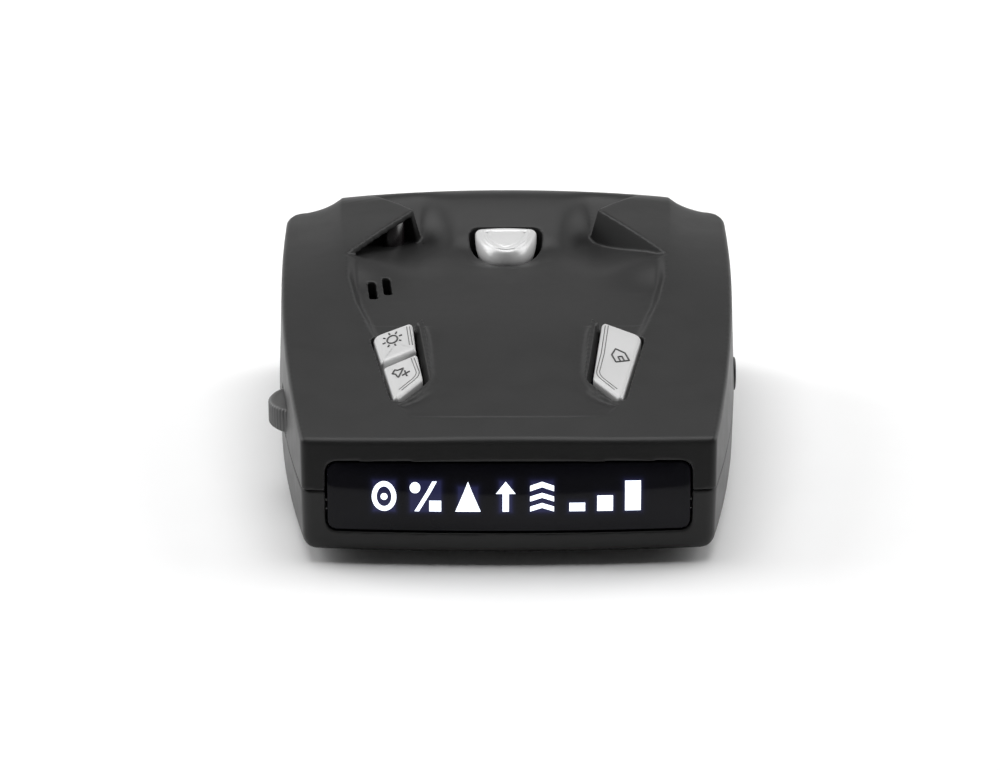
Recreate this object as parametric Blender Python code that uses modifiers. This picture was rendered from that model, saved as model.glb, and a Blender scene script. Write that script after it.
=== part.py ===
"""Radar detector for a windscreen or dashboard.

A two-piece plastic case with a display window in front, two wedge-shaped horns at
the back, four buttons, a thumbwheel at the left and a power jack at the right.
Blender units are metres, +Z is up and the display faces -Y.  The design numbers
below are millimetres; y runs from the front face (0) to the rear of the case.
"""
import math

import bmesh
import bpy

MM = 0.001

# Driving dimensions, in millimetres.
FOOT_HEIGHT = 1.5
PARTING_Z = 11.0
HALF_WIDTH = 35.9
FRONT_NARROWING = 6.6
TAPER_LENGTH = 72.0
CASE_REAR = 92.0
REAR_BOW = 8.0
FRONT_BULGE = 1.6
WALL = 2.0
GAP = 0.3
SEAM = 0.2
FRONT_REACH = 1.288
BOX_CENTRE_Y = (CASE_REAR - FRONT_REACH) / 2

WINDOW_HALF = 25.8
WINDOW_LOW = 5.2
WINDOW_HIGH = 14.9

BOARD_LOW = 7.0
BOARD_TOP = 8.6
PLUNGER_TOP = 13.6
STEM_LOW = PLUNGER_TOP + GAP

WHEEL_X = -29.4
WHEEL_Y = 27.0
WHEEL_RADIUS = 6.3
WHEEL_LOW = 11.2
WHEEL_HIGH = 15.0

JACK_Y = 44.0
JACK_Z = 12.4
JACK_REACH = 35.2

SPEAKER_X = -16.5
SPEAKER_Y = 50.7

LATCH_LOW = 15.0
LATCH_HIGH = 16.4
SOCKET_FRONT = 79.0
SOCKET_REAR = 90.4

HORN_TIP = (15.0, 77.0)
HORN_END = (25.3, 60.0)

CASE_SCREWS = [(-26.0, 14.0), (26.0, 14.0), (-29.0, 78.0), (29.0, 78.0)]
BOARD_SCREWS = [(-24.2, 36.6), (24.2, 36.6)]
FEET = {"foot_front_left": (-15.0, 8.0), "foot_front_right": (15.0, 8.0),
        "foot_rear_left": (-18.0, 82.0), "foot_rear_right": (18.0, 82.0)}
SWITCHES = {"dim_memo": (-16.7, 29.6), "mute": (-15.2, 18.6), "city": (16.6, 25.0)}


# ---------------------------------------------------------------- surfaces

def ease(t):
    """Smooth step from 0 to 1."""
    t = max(0.0, min(1.0, t))
    return t * t * (3 - 2 * t)


def between(value, points):
    """Straight-line interpolation through (key, result) points."""
    for (a, fa), (b, fb) in zip(points, points[1:]):
        if value <= b:
            return fa + (fb - fa) * max(0.0, (value - a) / (b - a))
    return points[-1][1]


def side(y):
    """Half-width of the case at the parting line."""
    width = HALF_WIDTH - FRONT_NARROWING * max(0.0, 1 - y / TAPER_LENGTH) ** 2.2
    corner = min(1.0, max(0.0, (y - 79) / 7))
    return width - 5 * (1 - math.sqrt(1 - corner * corner))


def draft(y):
    """How far the side wall leans in between the parting line and the top edge."""
    return 0.15 + 0.45 * math.sin(math.pi * min(max(y, 0.0), 80.0) / 80)


def front(x, z):
    """Front face: bowed in plan, leaning back above the parting line."""
    rise = (z - PARTING_Z) / 6.8
    lean = 1.8 * max(0.0, rise)
    bow = 1.0 - 0.6 * rise if rise > 0 else 1.0 - 0.45 * rise
    return lean - min(bow, FRONT_BULGE) * (1 - min(1.0, (x / 29) ** 2))


def rear(x):
    return CASE_REAR - REAR_BOW * (x / 35) ** 2


def ridge(y):
    """Half-width of the ridge between the hood and the shoulders."""
    return 27 - 0.0021 * (86 - y) ** 2


def edge_height(y):
    return 17.8 + 8.2 * math.sin(math.pi / 2 * min(y / 78, 1.0))


def hood(x, y):
    """Upper surface: shoulders, horn tops, front band and crest."""
    x = abs(x)
    rise = 0.1 + 0.4 * ease((y - 25) / 35) - 0.25 * ease((y - 62) / 15) + 2.2 * (max(y, 0.0) / 86) ** 3
    if x > ridge(y):
        edge = side(y) - draft(y)
        z = edge_height(y) + rise * max(0.0, (edge - x) / (edge - ridge(y))) ** 2
    else:
        crown = 0.15 + 1.1 * ease((y - 30) / 45)
        z = edge_height(y) + rise + crown * (1 - (x / ridge(y)) ** 2)
    return z - max(0.0, y - 82) ** 2 / 28


def floor_line(y):
    """Height of the valley floor along the centre."""
    return between(y, [(-5, 18.5), (7.8, 19.37), (20, 20.75), (35, 22.4), (50, 23.45),
                       (60, 24.0), (73, 24.3), (100, 24.6)])


def valley(x, y):
    """Floor of the valley between the ridges, rising to the crest at the rear."""
    x = abs(x)
    beside = ease((x - 6) / 8)
    ramp_start = 64 + 12 * beside
    ramp_end = 86 - 2.5 * beside
    climb = ease((y - ramp_start) / (ramp_end - ramp_start))
    floor = floor_line(y) - 1.1 * beside * ease((y - 56) / 18)
    bank = 2.1 * ease((y - 50) / 11.5) * ease((x - 14) / 11) * (1 - climb)
    return floor + (hood(x, y) - floor) * climb + bank


def valley_half(y):
    """Half-width of the valley's outline: round the buttons, along the ridge, past the horns."""
    return between(y, [(2, 12.0), (8.6, 14.3), (11.5, 15.9), (15.9, 11.35), (19.8, 11.3),
                       (30.5, 12.1), (37, 12.6), (37.3, 21.9), (44, 23.6), (52.5, 24.9),
                       (HORN_END[1], HORN_END[0]), (HORN_TIP[1], HORN_TIP[0]), (80, 17.2), (83, 19.8), (86, 22.3),
                       (92, 24.5)])


# ---------------------------------------------------------------- building blocks

def collection(name, parent=None):
    made = bpy.data.collections.new(name)
    (parent or bpy.context.scene.collection).children.link(made)
    return made


def material(name, colour, roughness, metallic=0.0):
    made = bpy.data.materials.new(name)
    made.use_nodes = True
    shader = made.node_tree.nodes["Principled BSDF"]
    shader.inputs["Base Color"].default_value = (*colour, 1.0)
    shader.inputs["Roughness"].default_value = roughness
    shader.inputs["Metallic"].default_value = metallic
    made.diffuse_color = (*colour, 1.0)
    return made


def world(x, y, z):
    return (x * MM, (y - BOX_CENTRE_Y) * MM, z * MM)


class Kit:
    """Puts finished meshes into the part's collection or the cutters' collection."""

    def __init__(self):
        self.parts = collection("radar_detector")
        self.cutters = collection("cutters")
        self.finishes = {
            "case": material("case_plastic", (0.045, 0.045, 0.045), 0.55),
            "base": material("base_plastic", (0.05, 0.05, 0.05), 0.5),
            "window": material("window_acrylic", (0.006, 0.006, 0.012), 0.08),
            "lens": material("smoked_lens", (0.02, 0.004, 0.006), 0.08),
            "silver": material("satin_silver", (0.62, 0.62, 0.62), 0.35, 0.6),
            "rubber": material("rubber", (0.02, 0.02, 0.02), 0.85),
            "label": material("label_film", (0.5, 0.5, 0.5), 0.5),
            "board": material("board_laminate", (0.02, 0.16, 0.06), 0.5),
            "chip": material("chip_plastic", (0.02, 0.02, 0.022), 0.55),
            "die_cast": material("die_cast_metal", (0.55, 0.55, 0.56), 0.45, 1.0),
            "steel": material("plated_steel", (0.7, 0.7, 0.7), 0.3, 1.0),
            "brass": material("brass", (0.8, 0.6, 0.25), 0.3, 1.0),
            "paper": material("speaker_paper", (0.08, 0.075, 0.07), 0.9),
            "red": material("red_insulation", (0.5, 0.02, 0.02), 0.5),
            "black": material("black_plastic", (0.02, 0.02, 0.02), 0.5),
            "sleeve": material("capacitor_sleeve", (0.03, 0.05, 0.2), 0.4),
        }

    def add(self, name, mesh, finish, pivot=None, smooth_below=35):
        """Link a mesh, modelled in the part's frame, with its origin at pivot."""
        made = bpy.data.objects.new(name, mesh)
        if finish is None:
            self.cutters.objects.link(made)
            made.hide_render = True
            made.display_type = "WIRE"
        else:
            self.parts.objects.link(made)
            mesh.materials.clear()
            mesh.materials.append(self.finishes[finish])
            mesh.shade_smooth()
            mesh.set_sharp_from_angle(angle=math.radians(smooth_below))
        if pivot is not None:
            shift = world(*pivot)
            for vertex in mesh.vertices:
                vertex.co = [vertex.co[i] - shift[i] for i in range(3)]
            made.location = shift
        return made


def finish_mesh(name, bm):
    bm.normal_update()
    bmesh.ops.recalc_face_normals(bm, faces=bm.faces)
    mesh = bpy.data.meshes.new(name)
    bm.to_mesh(mesh)
    bm.free()
    return mesh


def box_mesh(name, low, high, turn=0.0):
    """Box between two corners, turned about its own upright centre line."""
    bm = bmesh.new()
    bmesh.ops.create_cube(bm, size=1.0)
    centre = [(low[i] + high[i]) / 2 for i in range(3)]
    size = [high[i] - low[i] for i in range(3)]
    angle = math.radians(turn)
    for vertex in bm.verts:
        x, y, z = [vertex.co[i] * size[i] for i in range(3)]
        x, y = x * math.cos(angle) - y * math.sin(angle), x * math.sin(angle) + y * math.cos(angle)
        vertex.co = world(centre[0] + x, centre[1] + y, centre[2] + z)
    return finish_mesh(name, bm)


def rod_mesh(name, x, y, low, high, radius, segments=24):
    """Upright cylinder."""
    bm = bmesh.new()
    bmesh.ops.create_cone(bm, cap_ends=True, segments=segments, radius1=radius * MM,
                          radius2=radius * MM, depth=(high - low) * MM)
    centre = world(x, y, (low + high) / 2)
    bmesh.ops.translate(bm, verts=bm.verts, vec=centre)
    return finish_mesh(name, bm)


def lying_rod_mesh(name, y, z, low, high, radius, segments=24):
    """Cylinder along X."""
    bm = bmesh.new()
    bmesh.ops.create_cone(bm, cap_ends=True, segments=segments, radius1=radius * MM,
                          radius2=radius * MM, depth=(high - low) * MM)
    for vertex in bm.verts:
        along, across, up = vertex.co.z, vertex.co.x, vertex.co.y
        centre = world((low + high) / 2, y, z)
        vertex.co = (centre[0] + along, centre[1] + across, centre[2] + up)
    return finish_mesh(name, bm)


def turned_mesh(name, x, y, profile, segments=32):
    """Solid of revolution about an upright axis; profile is (radius, height) points."""
    bm = bmesh.new()
    corners = [bm.verts.new((r * MM, 0.0, z * MM)) for r, z in profile]
    edges = [bm.edges.new((a, b)) for a, b in zip(corners, corners[1:])]
    bmesh.ops.spin(bm, geom=corners + edges, cent=(0, 0, 0), axis=(0, 0, 1), angle=math.tau,
                   steps=segments, use_merge=True)
    bmesh.ops.remove_doubles(bm, verts=bm.verts, dist=0.00001)
    bmesh.ops.translate(bm, verts=bm.verts, vec=world(x, y, 0))
    return finish_mesh(name, bm)


def outline_mesh(name, points, low, high):
    """Flat outline given a thickness, as a filled 2D curve turned into a mesh."""
    curve = bpy.data.curves.new(name, "CURVE")
    curve.dimensions = "2D"
    curve.fill_mode = "BOTH"
    curve.extrude = (high - low) / 2 * MM
    line = curve.splines.new("POLY")
    line.points.add(len(points) - 1)
    line.use_cyclic_u = True
    for knot, (x, y) in zip(line.points, points):
        knot.co = (x * MM, (y - BOX_CENTRE_Y) * MM, 0.0, 1.0)
    shape = bpy.data.objects.new(name, curve)
    bpy.context.scene.collection.objects.link(shape)
    bpy.context.view_layer.update()
    mesh = bpy.data.meshes.new_from_object(shape.evaluated_get(bpy.context.evaluated_depsgraph_get()))
    bpy.data.objects.remove(shape)
    bpy.data.curves.remove(curve)
    bm = bmesh.new()
    bm.from_mesh(mesh)
    bmesh.ops.remove_doubles(bm, verts=bm.verts, dist=0.000005)
    bmesh.ops.translate(bm, verts=bm.verts, vec=(0.0, 0.0, (low + high) / 2 * MM))
    bpy.data.meshes.remove(mesh)
    return finish_mesh(name, bm)


def rounded(corners, radii, steps=4):
    """Outline through the corners, each rounded by its radius."""
    points = []
    count = len(corners)
    for i, ((x, y), radius) in enumerate(zip(corners, radii)):
        (ax, ay), (bx, by) = corners[i - 1], corners[(i + 1) % count]
        in_x, in_y = unit(ax - x, ay - y)
        out_x, out_y = unit(bx - x, by - y)
        half = math.acos(max(-1.0, min(1.0, in_x * out_x + in_y * out_y))) / 2
        mid_x, mid_y = unit(in_x + out_x, in_y + out_y)
        reach = radius / math.sin(half)
        centre_x, centre_y = x + mid_x * reach, y + mid_y * reach
        foot = radius / math.tan(half)
        start = math.atan2(y + in_y * foot - centre_y, x + in_x * foot - centre_x)
        stop = math.atan2(y + out_y * foot - centre_y, x + out_x * foot - centre_x)
        turn = (stop - start + math.pi) % math.tau - math.pi
        for k in range(steps + 1):
            angle = start + turn * k / steps
            points.append((centre_x + radius * math.cos(angle), centre_y + radius * math.sin(angle)))
    return points


def unit(x, y):
    length = math.hypot(x, y)
    return x / length, y / length


def grown(points, amount):
    """Outline moved outwards by amount, or inwards if it is negative."""
    area = sum(a[0] * b[1] - b[0] * a[1] for a, b in zip(points, points[1:] + points[:1]))
    outward = 1 if area > 0 else -1
    moved = []
    for i, (x, y) in enumerate(points):
        ahead, behind = points[(i + 1) % len(points)], points[i - 1]
        along = unit(ahead[0] - behind[0], ahead[1] - behind[1])
        moved.append((x + along[1] * amount * outward, y - along[0] * amount * outward))
    return moved


def shrunk(points, share):
    """Outline scaled towards its middle."""
    mid_x = sum(x for x, _ in points) / len(points)
    mid_y = sum(y for _, y in points) / len(points)
    return [(mid_x + (x - mid_x) * share, mid_y + (y - mid_y) * share) for x, y in points]


def mirrored(points):
    return [(-x, y) for x, y in points]


def loft_mesh(name, upper, lower, columns, rows, round_edges=None):
    """Closed solid between two surfaces given over (column, row).

    round_edges(column, row, column, row, place) weighs an outer edge for a Bevel:
    place is "upper", "lower" or "wall".
    """
    bm = bmesh.new()
    weight = bm.edges.layers.float.new("bevel_weight_edge")
    top = [[bm.verts.new(world(*upper(c, r))) for c in columns] for r in rows]
    base = [[bm.verts.new(world(*lower(c, r))) for c in columns] for r in rows]
    last_row, last_column = len(rows) - 1, len(columns) - 1
    for j in range(last_row):
        for i in range(last_column):
            bm.faces.new((top[j][i], top[j][i + 1], top[j + 1][i + 1], top[j + 1][i]))
            bm.faces.new((base[j][i], base[j + 1][i], base[j + 1][i + 1], base[j][i + 1]))
    rim = [(0, i) for i in range(last_column)] + [(j, last_column) for j in range(last_row)]
    rim += [(last_row, i) for i in range(last_column, 0, -1)] + [(j, 0) for j in range(last_row, 0, -1)]
    for (j, i), (jn, im) in zip(rim, rim[1:] + rim[:1]):
        bm.faces.new((top[j][i], base[j][i], base[jn][im], top[jn][im]))
        for grid, place in ((top, "upper"), (base, "lower")):
            edge = bm.edges.get((grid[j][i], grid[jn][im]))
            edge[weight] = round_edges(place) if round_edges else 0.0
        if round_edges and j in (0, last_row) and i in (0, last_column):
            bm.edges.get((top[j][i], base[j][i]))[weight] = round_edges("wall")
    return finish_mesh(name, bm)


def bevel(part, width, segments):
    step = part.modifiers.new("rounded_edges", "BEVEL")
    step.limit_method = "WEIGHT"
    step.width = width * MM
    step.segments = segments
    step.use_clamp_overlap = True


def bevel_all(part, width, segments=2, angle=40):
    step = part.modifiers.new("rounded_edges", "BEVEL")
    step.limit_method = "ANGLE"
    step.angle_limit = math.radians(angle)
    step.width = width * MM
    step.segments = segments


def combine(part, cutter, operation="DIFFERENCE", solver="EXACT"):
    step = part.modifiers.new(cutter.name, "BOOLEAN")
    step.object = cutter
    step.operation = operation
    step.solver = solver


# ---------------------------------------------------------------- case

def plan(column, row, z, inset):
    """Point of the case's plan: column -1..1 across, row 0..1 from front to rear."""
    x, y = 20.0 * column, 92.0 * row
    for _ in range(8):
        y_front, y_rear = front(x, z) + inset, rear(x) - inset
        y = y_front + (y_rear - y_front) * row
        half = side(y) - inset
        inner = min(ridge(y), half - 3)
        share = abs(column)
        reach = inner * share / 0.7 if share <= 0.7 else inner + (half - inner) * (share - 0.7) / 0.3
        x = math.copysign(reach, column)
    return x, y


HULL_COLUMNS = [-1, -0.9, -0.8, -0.7, -0.53, -0.35, -0.17, 0, 0.17, 0.35, 0.53, 0.7, 0.8, 0.9, 1]
HULL_ROWS = [0, 0.04, 0.1, 0.17, 0.25, 0.34, 0.43, 0.52, 0.61, 0.7, 0.78, 0.85, 0.9, 0.94, 0.97, 1]


def hull_top(column, row):
    """Point of the hood, drawn in by the side wall's draft and the front's lean."""
    x, y = plan(column, row, PARTING_Z + 6.8, 0.0)
    x -= math.copysign(draft(y), column) * abs(column)
    return x, y, hood(x, y)


def cavity_cutter(kit, name, low, high, inset):
    upper = (lambda c, r: (*plan(c, r, PARTING_Z, inset), high)) if high else roof_underside(inset)
    lower = lambda c, r: (*plan(c, r, PARTING_Z, inset), low)
    return kit.add(name, loft_mesh(name, upper, lower, HULL_COLUMNS[::2], HULL_ROWS[::3]), None)


def roof_underside(inset):
    def point(column, row):
        x, y = plan(column, row, PARTING_Z, inset)
        return x, y, floor_line(y) - WALL
    return point


def window_solid(name, half, low, high, near, far, upright=False):
    """Slab behind the bowed front face: its back is upright, its front too or leaning."""
    def surface(depth, leaning):
        def point(column, row):
            x, z = half * column, low + (high - low) * row
            return x, front(x, z if leaning else PARTING_Z) + depth, z
        return point
    columns = [-1, -0.66, -0.33, 0, 0.33, 0.66, 1]
    share = (PARTING_Z - low) / (high - low)
    return loft_mesh(name, surface(near, not upright), surface(far, False), columns,
                     [0, share / 2, share, 1], lambda place: 1.0 if place == "wall" else 0.0)


def button_outline():
    """Whole outline of the right button; the left pair splits its mirror image."""
    return rounded([(14.3, 36.0), (20.2, 31.6), (16.45, 12.2), (12.4, 18.6)], [0.6, 2.2, 0.5, 1.6])


def release_outline(radius, back, corner):
    """D shape: a round front and a straight back edge."""
    arc = [(radius * math.cos(math.pi + math.pi * k / 12), 69 + radius * math.sin(math.pi + math.pi * k / 12))
           for k in range(13)]
    return arc + rounded([(radius, 70.0), (radius, back), (-radius, back), (-radius, 70.0)],
                         [0.01, corner, corner, 0.01], 3)[4:12]


def along_horn(distance, depth, mirror=1):
    """Plan point beside a horn's inner wall: distance from its tip, depth into the horn."""
    run = (HORN_END[0] - HORN_TIP[0], HORN_END[1] - HORN_TIP[1])
    dx, dy = unit(*run)
    return mirror * (HORN_TIP[0] + dx * distance - dy * depth), HORN_TIP[1] + dy * distance + dx * depth


def lens_wedge(name, margin, near, far):
    """Wedge behind the left horn's wall, tall at the tip and thin at its end."""
    def surface(low_side):
        def point(column, row):
            distance = 2.1 - margin + (9.5 + 2 * margin) * row
            x, y = along_horn(distance, near + (far - near) * (column + 1) / 2, -1)
            high = 27.6 - 0.9 * row + margin
            low = 25.7 + 0.5 * row - margin
            return x, y, low if low_side else high
        return point
    return loft_mesh(name, surface(False), surface(True), [-1, 1], [0, 0.5, 1])


def shared_cuts(kit):
    """Openings that cross the parting line, cut from both halves of the case."""
    window = kit.add("window_opening", window_solid("window_opening", WINDOW_HALF + GAP,
                     WINDOW_LOW - GAP, WINDOW_HIGH + GAP, -4.0, 4.5), None)
    bevel(window, 1.6, 3)
    wheel = kit.add("wheel_opening", rod_mesh("wheel_opening", WHEEL_X, WHEEL_Y, 10.6,
                    WHEEL_HIGH + 0.5, WHEEL_RADIUS + 0.6, 40), None)
    nose = kit.add("pot_relief", rod_mesh("pot_relief", WHEEL_X, WHEEL_Y, 8.4, 10.7, 2.7), None)
    jack = kit.add("jack_opening", lying_rod_mesh("jack_opening", JACK_Y, JACK_Z, 30.0, 40.0, 2.9), None)
    return [window, wheel, nose, jack]


def top_housing(kit, shared):
    weigh = {"upper": 0.75, "lower": 0.0, "wall": 1.0}
    shell = kit.add("top_housing", loft_mesh("top_housing", hull_top,
                    lambda c, r: (*plan(c, r, PARTING_Z, 0.0), PARTING_Z + SEAM / 2),
                    HULL_COLUMNS, HULL_ROWS, weigh.get), "case")
    bevel(shell, 1.6, 3)
    trough = valley_cutter(kit)
    combine(shell, cavity_cutter(kit, "top_cavity", PARTING_Z - 3, None, WALL + 0.2))
    combine(shell, trough)
    for i, (x, y) in enumerate(CASE_SCREWS):
        post = kit.add(f"top_post_{i + 1}", rod_mesh("top_post", x, y, PARTING_Z + 0.3,
                       floor_line(y) - 1.0, 2.8, 16), None)
        hole = kit.add(f"pilot_hole_{i + 1}", rod_mesh("pilot_hole", x, y, PARTING_Z - 1, 16.8, 1.4, 16), None)
        combine(shell, post, "UNION")
        combine(shell, hole)
    for cutter in shared:
        combine(shell, cutter)
    for cutter in top_openings(kit):
        combine(shell, cutter)


def valley_cutter(kit):
    def lowest(column, row):
        y = row
        x = column * valley_half(y)
        lift = 0.12 * max(0.0, y - 81 - 2 * (x / 20) ** 2) ** 1.5
        return x, y, valley(x, y) + lift
    rows = [2, 5, 8.6, 11.5, 13.7, 15.9, 19.8, 25, 30.5, 37, 37.3, 41, 44, 48, 52.5, 56, 60, 63, 66, 69,
            73, 77, 80, 82.5, 85, 87, 90]
    columns = [-1, -0.9, -0.78, -0.62, -0.42, -0.2, 0, 0.2, 0.42, 0.62, 0.78, 0.9, 1]
    mesh = loft_mesh("valley_cut", lambda c, r: (c * valley_half(r), r, 40.0), lowest, columns, rows)
    return kit.add("valley_cut", mesh, None)


def top_openings(kit):
    """Openings of the top housing only: buttons, release button, slits, bracket and lenses."""
    outline = grown(button_outline(), 0.35)
    cuts = [kit.add("right_button_opening", outline_mesh("right_button_opening", outline, 12, 40), None),
            kit.add("left_button_opening", outline_mesh("left_button_opening", mirrored(outline), 12, 40), None),
            kit.add("release_opening", outline_mesh("release_opening", release_outline(5.85, 74.4, 1.2), 14, 40), None)]
    for i, (x, y) in enumerate([(-20.8, 51.0), (-18.6, 52.6)]):
        ends = [(x - 0.25, y + 2.6), (x + 0.25, y - 2.6)]
        cuts.append(kit.add(f"speaker_slit_{i + 1}", outline_mesh("slit", capsule(ends, 0.55), 18, 40), None))
    cuts.append(kit.add("socket_opening", box_mesh("socket_opening", (-12.3, SOCKET_FRONT - GAP, 17.0),
                                                   (12.3, 96, 25.2)), None))
    cuts.append(kit.add("front_lens_opening", box_mesh("front_lens_opening", (17.7, 83.0, 12.5),
                                                       (26.3, 93.0, 18.1), -16), None))
    cuts.append(kit.add("rear_lens_opening", lens_wedge("rear_lens_opening", 0.3, -3.0, 2.8), None))
    x, y = along_horn(4.5, 4.2, -1)
    cuts.append(kit.add("light_shaft", rod_mesh("light_shaft", x, y, 19.0, 26.6, 2.2, 16), None))
    return cuts


def capsule(ends, radius, steps=6):
    (ax, ay), (bx, by) = ends
    heading = math.atan2(by - ay, bx - ax)
    points = []
    for (x, y), turn in (((bx, by), heading - math.pi / 2), ((ax, ay), heading + math.pi / 2)):
        points += [(x + radius * math.cos(turn + math.pi * k / steps),
                    y + radius * math.sin(turn + math.pi * k / steps)) for k in range(steps + 1)]
    return points


def bottom_housing(kit, shared):
    weigh = {"upper": 0.0, "lower": 1.0, "wall": 0.6}
    shell = kit.add("bottom_housing", loft_mesh("bottom_housing",
                    lambda c, r: (*plan(c, r, PARTING_Z, 0.0), PARTING_Z - SEAM / 2),
                    lambda c, r: (*plan(c, r, FOOT_HEIGHT, 0.2), FOOT_HEIGHT),
                    HULL_COLUMNS[::2], HULL_ROWS, weigh.get), "base")
    bevel(shell, 2.6, 3)
    cavity = cavity_cutter(kit, "bottom_cavity", FOOT_HEIGHT + WALL, PARTING_Z + 2, WALL)
    combine(shell, cavity, "DIFFERENCE", "MANIFOLD")
    for i, (x, y) in enumerate(CASE_SCREWS):
        post = kit.add(f"base_post_{i + 1}", rod_mesh("base_post", x, y, FOOT_HEIGHT + 1, PARTING_Z - 0.3, 3.1, 16),
                       None)
        bore = kit.add(f"screw_bore_{i + 1}", rod_mesh("screw_bore", x, y, -1, 12, 1.5, 16), None)
        sink = kit.add(f"screw_sink_{i + 1}", rod_mesh("screw_sink", x, y, -1, 6.0, 2.45, 20), None)
        combine(shell, post, "UNION", "MANIFOLD")
        combine(shell, bore, "DIFFERENCE", "MANIFOLD")
        combine(shell, sink, "DIFFERENCE", "MANIFOLD")
    for i, (x, y) in enumerate(BOARD_SCREWS):
        post = kit.add(f"board_post_{i + 1}", rod_mesh("board_post", x, y, FOOT_HEIGHT + 1, BOARD_LOW - GAP, 2.4, 16),
                       None)
        hole = kit.add(f"board_hole_{i + 1}", rod_mesh("board_hole", x, y, 4.2, 12, 1.1, 12), None)
        combine(shell, post, "UNION", "MANIFOLD")
        combine(shell, hole, "DIFFERENCE", "MANIFOLD")
    for name, (x, y) in FEET.items():
        recess = kit.add(f"{name}_recess", rod_mesh("recess", x, y, -1, FOOT_HEIGHT + 0.7, 3.8), None)
        combine(shell, recess, "DIFFERENCE", "MANIFOLD")
    label = kit.add("label_recess", box_mesh("label_recess", (-17.3, 30.7, -1), (17.3, 53.3, 1.9)), None)
    combine(shell, label, "DIFFERENCE", "MANIFOLD")
    for cutter in shared:
        combine(shell, cutter, "DIFFERENCE", "MANIFOLD")


def case_fittings(kit):
    window = kit.add("display_window", window_solid("display_window", WINDOW_HALF, WINDOW_LOW,
                                                    WINDOW_HIGH, 0.25, 2.9), "window")
    bevel(window, 1.4, 3)
    flange = kit.add("window_flange", window_solid("window_flange", WINDOW_HALF + 1.2, WINDOW_LOW - 0.9,
                                                   WINDOW_HIGH + 0.8, 2.5, 3.2, True), None)
    combine(window, flange, "UNION")
    kit.add("front_laser_lens", box_mesh("front_laser_lens", (18.0, 85.9, 12.8), (26.0, 88.1, 17.8), -16), "lens")
    kit.add("rear_laser_lens", lens_wedge("rear_laser_lens", 0.0, 0.45, 2.4), "lens")
    for name, (x, y) in FEET.items():
        foot = kit.add(name, rod_mesh(name, x, y, 0.0, FOOT_HEIGHT + 0.4, 3.5), "rubber")
        bevel_all(foot, 0.3, 1)
    kit.add("rating_label", box_mesh("rating_label", (-17, 31, 1.25), (17, 53, 1.6)), "label")
    for i, (x, y) in enumerate(CASE_SCREWS):
        kit.add(f"case_screw_{i + 1}", turned_mesh("case_screw", x, y, [
            (0, 4.8), (0.8, 4.2), (2.1, 4.2), (2.1, 5.7), (1.1, 5.7), (1.1, 15.6), (0, 16.5)], 16), "steel")


def socket_and_latch(kit):
    body = kit.add("bracket_socket", box_mesh("bracket_socket", (-12, SOCKET_FRONT, 17.9),
                                              (12, SOCKET_REAR, 24.9)), "black")
    slot = kit.add("bracket_slot", box_mesh("bracket_slot", (-10.6, SOCKET_FRONT + 1.1, 19.0),
                                            (10.6, 95, 23.8)), None)
    hatch = kit.add("hook_window", box_mesh("hook_window", (-3.4, 80.3, 17), (3.4, 82.7, 20)), None)
    combine(body, slot)
    combine(body, hatch)
    plate = kit.add("bracket_latch", box_mesh("bracket_latch", (-5, 62, LATCH_LOW), (5, 82.3, LATCH_HIGH)),
                    "black", (0, 69, LATCH_HIGH))
    hook = kit.add("latch_hook", box_mesh("latch_hook", (-3, 80.7, LATCH_HIGH - 0.5), (3, 82.3, 20.4)), None)
    stem_hole = kit.add("latch_stem_hole", rod_mesh("latch_stem_hole", 0, 70, 13, 18, 1.5, 20), None)
    combine(plate, hook, "UNION")
    combine(plate, stem_hole)


def release_button(kit):
    outline = release_outline(4.95, 73.8, 0.9)
    button = kit.add("release_button", outline_mesh("release_button", outline, 21.4, 30), "silver", (0, 69, 24))
    above = kit.add("above_release", loft_mesh("above_release", lambda c, r: (8 * c, r, 40),
                    lambda c, r: (8 * c, r, release_top(r) - 0.02 * (3 * c) ** 2 - roll_off(r)),
                    [-1, -0.5, 0, 0.5, 1], [60, 63.9, 64.4, 65.2, 66.5, 69, 72, 73.9, 78]), None)
    stem = kit.add("release_stem", turned_mesh("release_stem", 0, 70, [
        (0, 15.2), (1.2, 15.2), (1.2, 16.7), (2.4, 16.7), (2.4, 22), (0, 22)], 20), None)
    combine(button, above)
    combine(button, stem, "UNION")


def release_top(y):
    """Height of the release button's sloping top along its centre."""
    return 25.7 + 0.125 * (y - 64.1)


def roll_off(y):
    """How far the release button's front edge rolls down."""
    return 1.2 * max(0.0, (66.5 - y) / 2.6) ** 2


def push_button(kit, name, outline, tabs):
    """Hollow cap that follows the hood, with a stem over its switch and tabs under the roof."""
    x, y = SWITCHES[name]
    cap = kit.add(f"{name}_button", outline_mesh(name, outline, 17.2, 30), "silver", (x, y, PLUNGER_TOP))
    hollow = kit.add(f"{name}_hollow", outline_mesh(f"{name}_hollow", shrunk(outline, 0.7), 16, 18.3), None)
    stem = kit.add(f"{name}_stem", rod_mesh(f"{name}_stem", x, y, STEM_LOW, 18.8, 1.6, 16), None)
    combine(cap, bpy.data.objects["above_hood"])
    combine(cap, hollow)
    combine(cap, stem, "UNION")
    for i, (tab_x, tab_y) in enumerate(tabs):
        roof = floor_line(tab_y) - WALL - 0.4
        tab = kit.add(f"{name}_tab_{i + 1}", box_mesh("tab", (tab_x - 1.0, tab_y - 1.4, roof - 0.9),
                                                      (tab_x + 1.0, tab_y + 1.0, roof)), None)
        combine(cap, tab, "UNION")


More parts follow.
